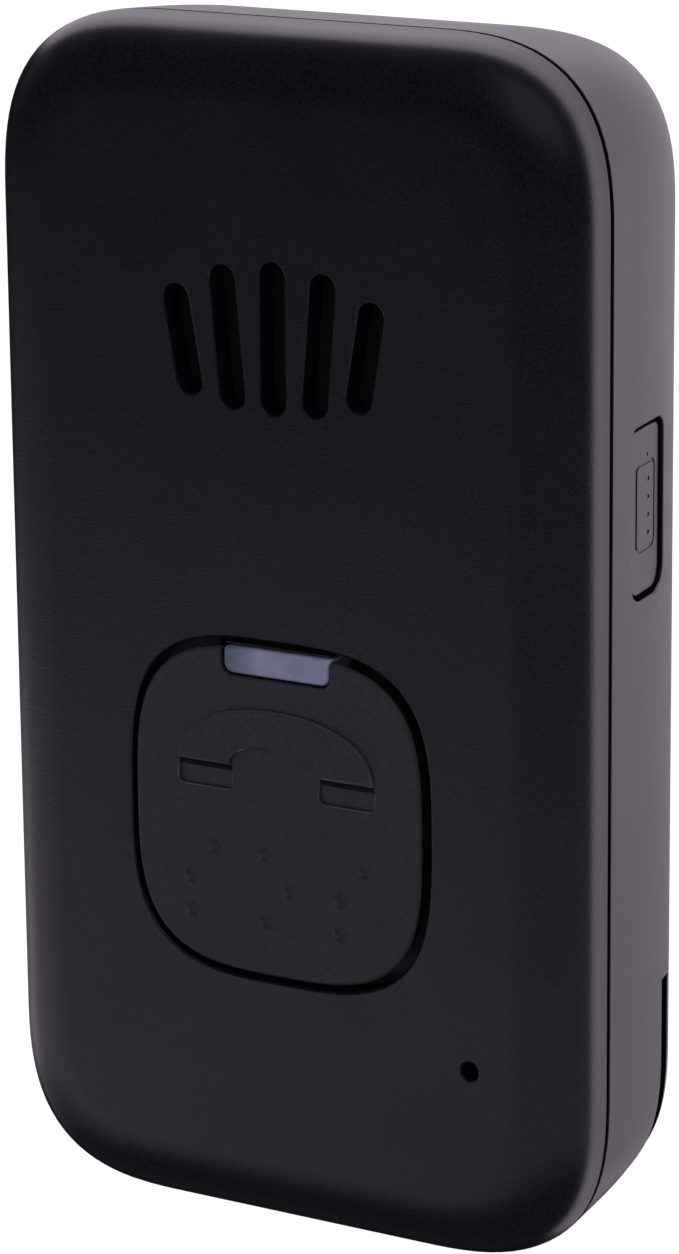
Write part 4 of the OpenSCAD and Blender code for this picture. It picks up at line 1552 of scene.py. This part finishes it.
    def grip_border(self, arch: Sequence[Flat]) -> Piece:
        """Builds the fine raised border along the outer edge of the grip.

        Args:
            arch: Half round of the grip's outer curve, from right to left, in shares of its reach.

        Returns:
            The border.
        """
        top = self.face + self.sign_height + self.border_rise / 2
        shoulder = top - self.border_rise
        foot = shoulder - 2 * self.border_rise
        reach_u, reach_v = self.handset_outer
        rings = []
        for squeeze, out in ((0.0, foot), (0.0, shoulder), (self.border_bevel, top)):
            ring = []
            for inset, curve in ((self.sign_lean + squeeze, arch), (self.border - squeeze, arch[::-1])):
                ring += [(self.handset_middle + (reach_u - inset) * across,
                          self.handset_up + self.border_bevel + (reach_v - inset) * up, out)
                         for across, up in curve]
            rings.append(ring)
        return lofted("grip_border", self.bench, rings)

    def build_dots(self) -> None:
        """Builds the Braille dots of the three letters of the distress call."""
        top, middle, bottom = self.dot_rows
        left, right = -self.dot_column, self.dot_column
        outer_letter = [(right, top), (left, middle), (left, bottom)]
        middle_letter = [(left, top), (right, middle), (left, bottom)]
        parts = []
        for place, letter in ((-1, outer_letter), (0, middle_letter), (1, outer_letter)):
            for across, up in letter:
                spot = (place * self.cell_pitch + across, up)
                rings = [level(shifted(disc(self.dot), spot), self.face - self.sign_foot)]
                for step in range(self.dot_rings):
                    share = 1 - step / self.dot_rings
                    rise = self.dot_height * math.cos(QUARTER * share) ** 2
                    rings.append(level(shifted(disc(self.dot * share), spot), self.face + rise))
                parts.append(lofted("dot", self.bench, rings))
        dots = merged("braille_dots", parts)
        smooth(dots, DOMED_SHARP)
        enter(dots, "call_key", BUTTON)


@dataclass
class LightBar:
    """The milky light bar at the button's upper edge, with its foot and guides."""

    bench: Bench
    form: BodyForm
    left: float = -4.15
    right: float = 4.22
    flare: Flat = (0.22, 0.5)
    height: float = 1.88
    high: float = -0.14
    low_corners: Flat = (0.75, 0.65)
    high_corners: Flat = (0.35, 0.05)
    flare_bend: float = 0.4
    gap: float = 0.15
    proud: float = 0.6
    edge: float = 0.22
    foot: float = 1.0
    foot_width: float = 10.8
    foot_up: float = 3.5
    foot_room: Flat = (11.6, 4.4)
    guide: float = 2.0
    guide_spot: Flat = (2.5, 2.5)
    guide_low: float = 10.4
    guide_root: float = 0.3

    def outline(self, grow: float) -> list[Flat]:
        """Draws the bar from the front.

        Args:
            grow: Distance that its outline moves out.

        Returns:
            The points of the outline.
        """
        low = self.high - self.height
        flare, drop = self.flare
        corners = [(self.left, low, self.low_corners[0]), (self.right, low, self.low_corners[1]),
                   (self.right, self.high - drop, self.flare_bend),
                   (self.right + flare, self.high, self.high_corners[1]),
                   (self.left, self.high, self.high_corners[0])]
        return rounded_outline(corners, grow)

    def build(self) -> None:
        """Builds the bar with its rounded face, its foot and its two guides."""
        face = self.bench.front_of("status_lens") + self.proud
        foot_high = self.form.front_inside
        foot_low = foot_high - self.foot
        rings = [level(self.outline(0.0), foot_low)]
        rings += [level(self.outline(-inset), face - drop) for inset, drop in edge_profile(self.edge)]
        bar = lofted("light_bar", self.bench, rings)
        low, root = self.high + self.gap, 2 * self.gap
        unite(bar, brick("foot", self.bench, (0.0, (low + self.foot_up) / 2),
                         (self.foot_width, self.foot_up - low), foot_low, foot_high))
        unite(bar, brick("neck", self.bench, ((self.left + self.right) / 2, self.high),
                         (self.right - self.left - root, 2 * root), foot_low, foot_high))
        for side in (-1, 1):
            guide = shifted(disc(self.guide), (side * self.guide_spot[0], self.guide_spot[1]))
            unite(bar, column("guide", self.bench, guide, self.guide_low, foot_low + self.guide_root))
        smooth(bar)
        enter(bar, "housing", LENS, "status_lens")


@dataclass
class SideKey:
    """The small push button in the right wall, with its notched pad."""

    bench: Bench
    form: BodyForm
    up: float = 10.1
    out: float = 6.35
    length: float = 11.4
    breadth: float = 5.4
    upper_corner: float = 0.7
    lower_corner: float = 1.5
    gap: float = 0.3
    rim: float = 0.15
    depth: float = 3.4
    sunk: float = 0.27
    edge: float = 0.18
    flange: float = 0.5
    flange_depth: float = 0.8
    stem: float = 2.0
    stem_corner: float = 0.2
    stem_reach: float = 0.8
    pad: Flat = (5.7, 3.1)
    pad_corner: float = 0.45
    pad_middle: Flat = (10.35, 6.2)
    pad_edge: float = 0.04
    pad_line: float = 0.25
    pad_line_depth: float = 0.09
    notches: int = 4
    notch_pitch: float = 1.23
    notch: Flat = (0.28, 0.55)
    notch_corner: float = 0.12
    notch_up: float = 10.27
    notch_back: float = 5.45
    notch_depth: float = 0.08
    notch_slope: float = 0.9
    dimple: float = 0.3
    dimple_middle: Flat = (13.83, 5.8)

    def outline(self, grow: float) -> list[Flat]:
        """Draws the button from the side.

        Args:
            grow: Distance that its outline moves out.

        Returns:
            The points of the outline, as up and out.
        """
        high, low = self.up + self.length / 2, self.up - self.length / 2
        front, back = self.out + self.breadth / 2, self.out - self.breadth / 2
        corners = [(high, front, self.upper_corner), (low, front, self.lower_corner),
                   (low, back, self.lower_corner), (high, back, self.upper_corner)]
        return rounded_outline(corners, grow)

    def pad_outline(self, grow: float) -> list[Flat]:
        """Draws the pad from the side, moved out all round."""
        return shifted(round_rect(*self.pad, self.pad_corner, grow), self.pad_middle)

    def stand(self, outline: Sequence[Flat], rise: float) -> list[Spot]:
        """Sets an outline at a height above the button's face, which runs along the wall."""
        return [(self.form.side_wall(out) - self.sunk + rise, up, out) for up, out in outline]

    def build(self) -> None:
        """Builds the plate with its flange, notched pad and small dimple."""
        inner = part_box("side_button")[0].x / MM
        flange_in = inner + self.stem_reach
        flange_out = flange_in + self.flange_depth
        flange_rings = ((self.flange, flange_in), (self.flange, flange_out), (0.0, flange_out))
        rings = [crosswise(self.outline(grow), right) for grow, right in flange_rings]
        rings += [self.stand(self.outline(-inset), -drop) for inset, drop in edge_profile(self.edge)]
        plate = lofted("side_key_cap", self.bench, rings)
        stem = shifted(round_rect(self.stem, self.stem, self.stem_corner), (self.up, self.out))
        unite(plate, lofted("stem", self.bench, [crosswise(stem, inner),
                                                 crosswise(stem, flange_in + self.flange_depth / 2)]))
        dimple = shifted(disc(self.dimple), self.dimple_middle)
        cut(plate, self.sunken("dimple", dimple, -self.notch_depth),
            self.sunken("pad_line", self.pad_outline(self.pad_line), -self.pad_line_depth))
        unite(plate, self.pad_block())
        for index in range(self.notches):
            up = self.notch_up + (index - (self.notches - 1) / 2) * self.notch_pitch
            cut(plate, self.scoop(up))
        smooth(plate)
        enter(plate, "side_key", SIDE_KEY, "side_button")

    def sunken(self, name: str, outline: Sequence[Flat], floor: float) -> Piece:
        """Builds a cutter that ends at a height above the button's face."""
        return lofted(name, self.bench, [self.stand(outline, floor), self.stand(outline, OVERRUN)])

    def scoop(self, up: float) -> Piece:
        """Builds the cutter of one notch, which gets deeper towards the back.

        Args:
            up: Height of its middle.

        Returns:
            The cutter.
        """
        long = self.notch[1]
        outline = shifted(round_rect(*self.notch, self.notch_corner), (up, self.notch_back + long / 2))
        floor = []
        for spot in outline:
            share = 1 - self.notch_slope * (spot[1] - self.notch_back) / long
            floor += self.stand([spot], -self.notch_depth * share)
        return lofted("notch", self.bench, [floor, self.stand(outline, OVERRUN)])

    def pad_block(self) -> Piece:
        """Builds the pad inside its line, rooted in the plate.

        Returns:
            The pad.
        """
        rings = [self.stand(self.pad_outline(0.0), -2 * self.pad_line_depth)]
        for inset, drop in edge_profile(self.pad_edge):
            rings.append(self.stand(self.pad_outline(-inset), -drop))
        return lofted("pad", self.bench, rings)


@dataclass
class BatteryUnit:
    """The battery pack and the door that snaps over it."""

    bench: Bench
    pack: Flat = (34.0, 33.5)
    pack_depth: float = 5.2
    pack_back: float = 1.5
    pack_corner: float = 2.0
    pack_edge: float = 0.7
    pack_edge_steps: int = 6
    pads: tuple[float, ...] = (-2.5, 0.0, 2.5)
    pad: Flat = (1.75, 2.4)
    pad_drop: float = 4.5
    pad_depth: float = 0.15
    middle: Flat = (0.0, -17.85)
    bay: Flat = (34.4, 33.9)
    bay_corner: float = 1.0
    bay_floor: float = 6.9
    bay_wall: float = 0.9
    door_half: float = 18.8
    door_top: float = 2.6
    door_cap: float = -24.5
    door_past: Flat = (27.0, -50.0)
    door_corner: float = 2.0
    door: float = 1.3
    door_gap: float = 0.2
    door_edge: float = 0.2
    door_inner_edge: float = 0.1
    nail: float = 1.45
    nail_reach: float = 3.0
    nail_overlap: float = 0.1
    nail_past: float = 4.0
    nail_drop: float = 40.0
    tab: Flat = (6.0, 1.0)
    tab_hole: Flat = (6.6, 1.6)
    tab_rise: float = 2.3
    tab_root: float = 0.3
    tabs: tuple[Flat, ...] = ((0.0, -37.5), (11.0, 1.3), (-11.0, 1.3))

    def door_outline(self, grow: float) -> list[Flat]:
        """Draws the door: a narrow upper part on a lower part past the body's edge.

        Args:
            grow: Distance that its outline moves out.

        Returns:
            The points of the outline.
        """
        side, bottom = self.door_past
        half, cap, top, corner = self.door_half, self.door_cap, self.door_top, self.door_corner
        corners = [(side, bottom, 0.0), (side, cap, 0.0), (half, cap, 0.0), (half, top, corner),
                   (-half, top, corner), (-half, cap, 0.0), (-side, cap, 0.0), (-side, bottom, 0.0)]
        return rounded_outline(corners, grow)

    def nail_slot(self, form: BodyForm) -> Piece:
        """Builds the cutter of the nail slot that runs round the lower edge in front of the door.

        Args:
            form: Outer form of the body.

        Returns:
            The cutter.
        """
        middle = (0.0, self.door_cap + self.door_gap - self.nail_drop / 2)
        front = self.door + self.nail
        slot = brick("nail_slot", self.bench, middle, (form.width + self.nail_past, self.nail_drop),
                     self.door - self.nail_overlap, front)
        cut(slot, column("core", self.bench, form.outline(self.nail_reach), self.door - OVERRUN,
                         front + OVERRUN))
        return slot

    def build(self, housing: Housing) -> None:
        """Builds the door and the wrapped pack.

        Args:
            housing: Housing whose outer form the door continues.
        """
        rings = [level(self.door_outline(-inset), self.door - drop)
                 for inset, drop in reversed(edge_profile(self.door_inner_edge))]
        for offset, rise in mouth_profile(self.door_edge):
            rings.append(level(self.door_outline(-offset), -rise))
        blank = lofted("door_blank", self.bench, rings)
        door = housing.rear_blank("door_cover")
        combine(door, blank, Join.KEEP_SHARED)
        for spot in self.tabs:
            unite(door, brick("tab", self.bench, spot, self.tab, self.door - self.tab_root,
                              self.door + self.tab_rise))
        smooth(door)
        enter(door, "door", SHELL, "battery_door")
        self.build_pack()

    def build_pack(self) -> None:
        """Builds the pack as a wrapped block with soft edges and three sunken contact pads."""
        front = self.pack_back + self.pack_depth
        edge = edge_profile(self.pack_edge, self.pack_edge_steps)
        profile = [(inset, self.pack_back + drop) for inset, drop in reversed(edge)]
        profile += [(inset, front - drop) for inset, drop in edge]
        rings = [level(shifted(round_rect(*self.pack, self.pack_corner, -inset), self.middle), out)
                 for inset, out in profile]
        pack = lofted("wrapped_cell", self.bench, rings)
        pad_up = self.middle[1] + self.pack[1] / 2 - self.pad_drop
        for right in self.pads:
            cut(pack, brick("pad", self.bench, (right, pad_up), self.pad, front - self.pad_depth,
                            front + OVERRUN))
        smooth(pack)
        enter(pack, "housing", CELL_WRAP, "battery_pack")


@dataclass
class InnerWorks:
    """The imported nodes, each dressed in its finish before some are replaced."""

    finishes: tuple[Finish, ...] = (
        RUBBER, STEEL, SPEAKER_STEEL, CONTACT_METAL, COPPER, MESH, CONE_FILM, BOARD, CHIP,
        SWITCH_BODY, SWITCH_PLUNGER, LED, SHELL, BUTTON, SIDE_KEY, LENS, CELL_WRAP)

    def dress(self) -> None:
        """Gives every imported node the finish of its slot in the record."""
        by_slot = {finish.name: finish for finish in self.finishes}
        for part in frame["record"]["subparts"]:
            node = frame["nodes"][part["node"]]
            finish = by_slot[part["material_slot"]]
            if not node.material_slots:
                node.data.materials.append(finish.material())
            for place in node.material_slots:
                place.material = finish.material()
            LOG.info("%s dressed as %s", part["node"], finish.name)


# Studio


@dataclass
class Studio:
    """Camera, floor and light: plain white light, and for gloss a lit sweep, table, card and lamp.

    The ramps give how bright each of these is by how far a direction looks back, down or aside.
    """

    camera_spot: Spot = (0.162483, -0.280464, 0.053765)
    camera_aim: Spot = (0.000008, -0.007107, -0.031856)
    camera_roll: float = -0.59
    lens: float = 136.0
    sensor: float = 36.0
    near: float = 0.01
    tint: Colour = (1.0, 0.9, 1.01)
    box_lean: float = -0.155
    flag_lean: float = 0.8
    back_edge: Ramp = ((0.14, 0.21), (0.0, 1.0))
    front_edge: Ramp = ((0.14, 0.21), (1.0, 0.0))
    boxes: Ramp = ((0.45, 0.9), (2.4, 1.0))
    scrim: Ramp = ((-0.1, 0.4), (1.0, 0.61))
    flag: Ramp = ((0.52, 0.72), (1.0, 0.0))
    table_edge: Ramp = ((0.2, 0.36), (1.0, 0.75))
    halo: Ramp = ((-0.55, 0.2), (0.0, 0.16))
    halo_low: Ramp = ((-0.3, 0.1), (1.0, 0.0))
    table_rise: Ramp = ((0.265, 0.335), (0.0, 0.6))
    table_fade: Ramp = ((0.33, 0.64), (1.0, 0.06))
    card: Ramp = ((0.46, 0.56), (0.0, 0.62))
    card_top: Ramp = ((0.24, 0.3), (0.0, 1.0))
    card_low: Ramp = ((0.34, 0.46), (1.0, 0.0))
    card_edge: Ramp = ((0.1, 0.6), (1.0, 0.4))
    lamp_up: Ramp = ((0.1, 0.35), (0.0, 1.0))
    lamp_right: Ramp = ((-0.3, 0.05), (0.0, 0.3))
    lamp_front: Ramp = ((-0.6, -0.3), (1.0, 0.0))
    room: float = 0.018
    floor_drop: float = 0.03
    floor_reach: float = 3.0
    floor_sides: int = 64
    paper: float = 0.82
    paper_glow: float = 0.26

    def set_camera(self) -> None:
        """Sets the camera at the photograph's viewing angle."""
        data = bpy.data.cameras.new("camera")
        data.lens = self.lens
        data.sensor_width = self.sensor
        data.clip_start = self.near
        camera = bpy.data.objects.new("camera", data)
        forward = (Vector(self.camera_aim) - Vector(self.camera_spot)).normalized()
        right = forward.cross(Vector((0.0, 0.0, 1.0))).normalized()
        axes = Matrix((right, right.cross(forward), -forward)).transposed()
        roll = Matrix.Rotation(math.radians(self.camera_roll), 4, "Z")
        camera.matrix_world = Matrix.Translation(self.camera_spot) @ axes.to_4x4() @ roll
        bpy.context.scene.collection.objects.link(camera)
        bpy.context.scene.camera = camera

    def gloss(self, wiring: Wiring) -> Socket:
        """Joins up what a glossy surface mirrors.

        Args:
            wiring: Wiring of the world's tree.

        Returns:
            The brightness in each direction.
        """
        axes = wiring.add("ShaderNodeSeparateXYZ")
        wiring.join(wiring.add("ShaderNodeTexCoord").outputs["Generated"], axes.inputs["Vector"])
        right, away, up = (axes.outputs[name] for name in "XYZ")
        left = wiring.product(right, -1.0)
        down = wiring.product(up, -1.0)
        lean = wiring.total(away, wiring.product(down, self.box_lean))
        aside = wiring.total(left, wiring.product(down, self.flag_lean))
        sweep = wiring.product(wiring.ease(lean, self.back_edge), wiring.ease(away, self.boxes),
                               wiring.ease(aside, self.scrim), wiring.ease(aside, self.flag),
                               wiring.ease(down, self.table_edge))
        table = wiring.product(wiring.ease(down, self.table_rise), wiring.spread(down, *self.table_fade))
        halo = wiring.product(wiring.ease(lean, self.halo), wiring.ease(down, self.halo_low))
        front = wiring.product(wiring.total(table, halo), wiring.ease(lean, self.front_edge))
        card = wiring.product(wiring.ease(left, self.card), wiring.ease(down, self.card_top),
                              wiring.ease(down, self.card_low), wiring.ease(away, self.card_edge))
        lamp = wiring.product(wiring.ease(up, self.lamp_up), wiring.ease(right, self.lamp_right),
                              wiring.ease(away, self.lamp_front))
        return wiring.total(front, card, sweep, lamp, self.room)

    def light(self) -> None:
        """Fills the world: plain light for colours, and the studio's bright shapes for gloss."""
        world = bpy.data.worlds.new("studio")
        world.use_nodes = True
        world.node_tree.nodes.clear()
        bpy.context.scene.world = world
        wiring = Wiring(world.node_tree)
        path = wiring.add("ShaderNodeLightPath")
        plain = wiring.add("ShaderNodeBackground", {"Color": (1.0, 1.0, 1.0, 1.0), "Strength": 1.0})
        glossy = wiring.add("ShaderNodeBackground", {"Color": (*self.tint, 1.0)})
        wiring.join(self.gloss(wiring), glossy.inputs["Strength"])
        mix = wiring.add("ShaderNodeMixShader")
        sources = (path.outputs["Is Glossy Ray"], plain.outputs[0], glossy.outputs[0])
        for source, target in zip(sources, mix.inputs):
            wiring.join(source, target)
        output = wiring.add("ShaderNodeOutputWorld")
        wiring.join(mix.outputs[0], output.inputs["Surface"])

    def lay_floor(self) -> None:
        """Lays a plain pale floor under the pendant."""
        shape = bmesh.new()
        bmesh.ops.create_circle(shape, cap_ends=True, segments=self.floor_sides, radius=self.floor_reach)
        floor = placed("floor", shape)
        floor.location.z = CAD_BOX[0].z - self.floor_drop
        floor.visible_glossy = False
        material = bpy.data.materials.new("pale_floor")
        material.use_nodes = True
        material.node_tree.nodes.clear()
        wiring = Wiring(material.node_tree)
        paper = wiring.add("ShaderNodeBsdfDiffuse", {"Color": (self.paper, self.paper, self.paper, 1.0)})
        path = wiring.add("ShaderNodeLightPath")
        glow = wiring.add("ShaderNodeEmission")
        wiring.join(wiring.product(path.outputs["Is Camera Ray"], self.paper_glow), glow.inputs["Strength"])
        both = wiring.add("ShaderNodeAddShader")
        for source, target in zip((paper, glow), both.inputs):
            wiring.join(source.outputs[0], target)
        output = wiring.add("ShaderNodeOutputMaterial")
        wiring.join(both.outputs[0], output.inputs["Surface"])
        floor.data.materials.append(material)

    def build(self) -> None:
        """Sets up the view, the camera, the light and the floor."""
        bpy.context.scene.view_settings.view_transform = "Standard"
        self.set_camera()
        self.light()
        self.lay_floor()


def main() -> None:
    """Builds the studio and each sub-assembly in order."""
    logging.basicConfig(level=logging.INFO, format="%(name)s: %(message)s")
    Studio().build()
    bench = Bench.from_frame()
    form = BodyForm.from_frame(bench)
    housing = Housing(bench, form)
    battery = BatteryUnit(bench)
    side = SideKey(bench, form)
    lens = LightBar(bench, form)
    InnerWorks().dress()
    housing.build_front(lens)
    housing.build_rear(battery, side)
    housing.build_bar()
    housing.build_screws()
    battery.build(housing)
    CallKey(bench, housing).build(lens)
    lens.build()
    side.build()


if __name__ == "__main__":
    main()
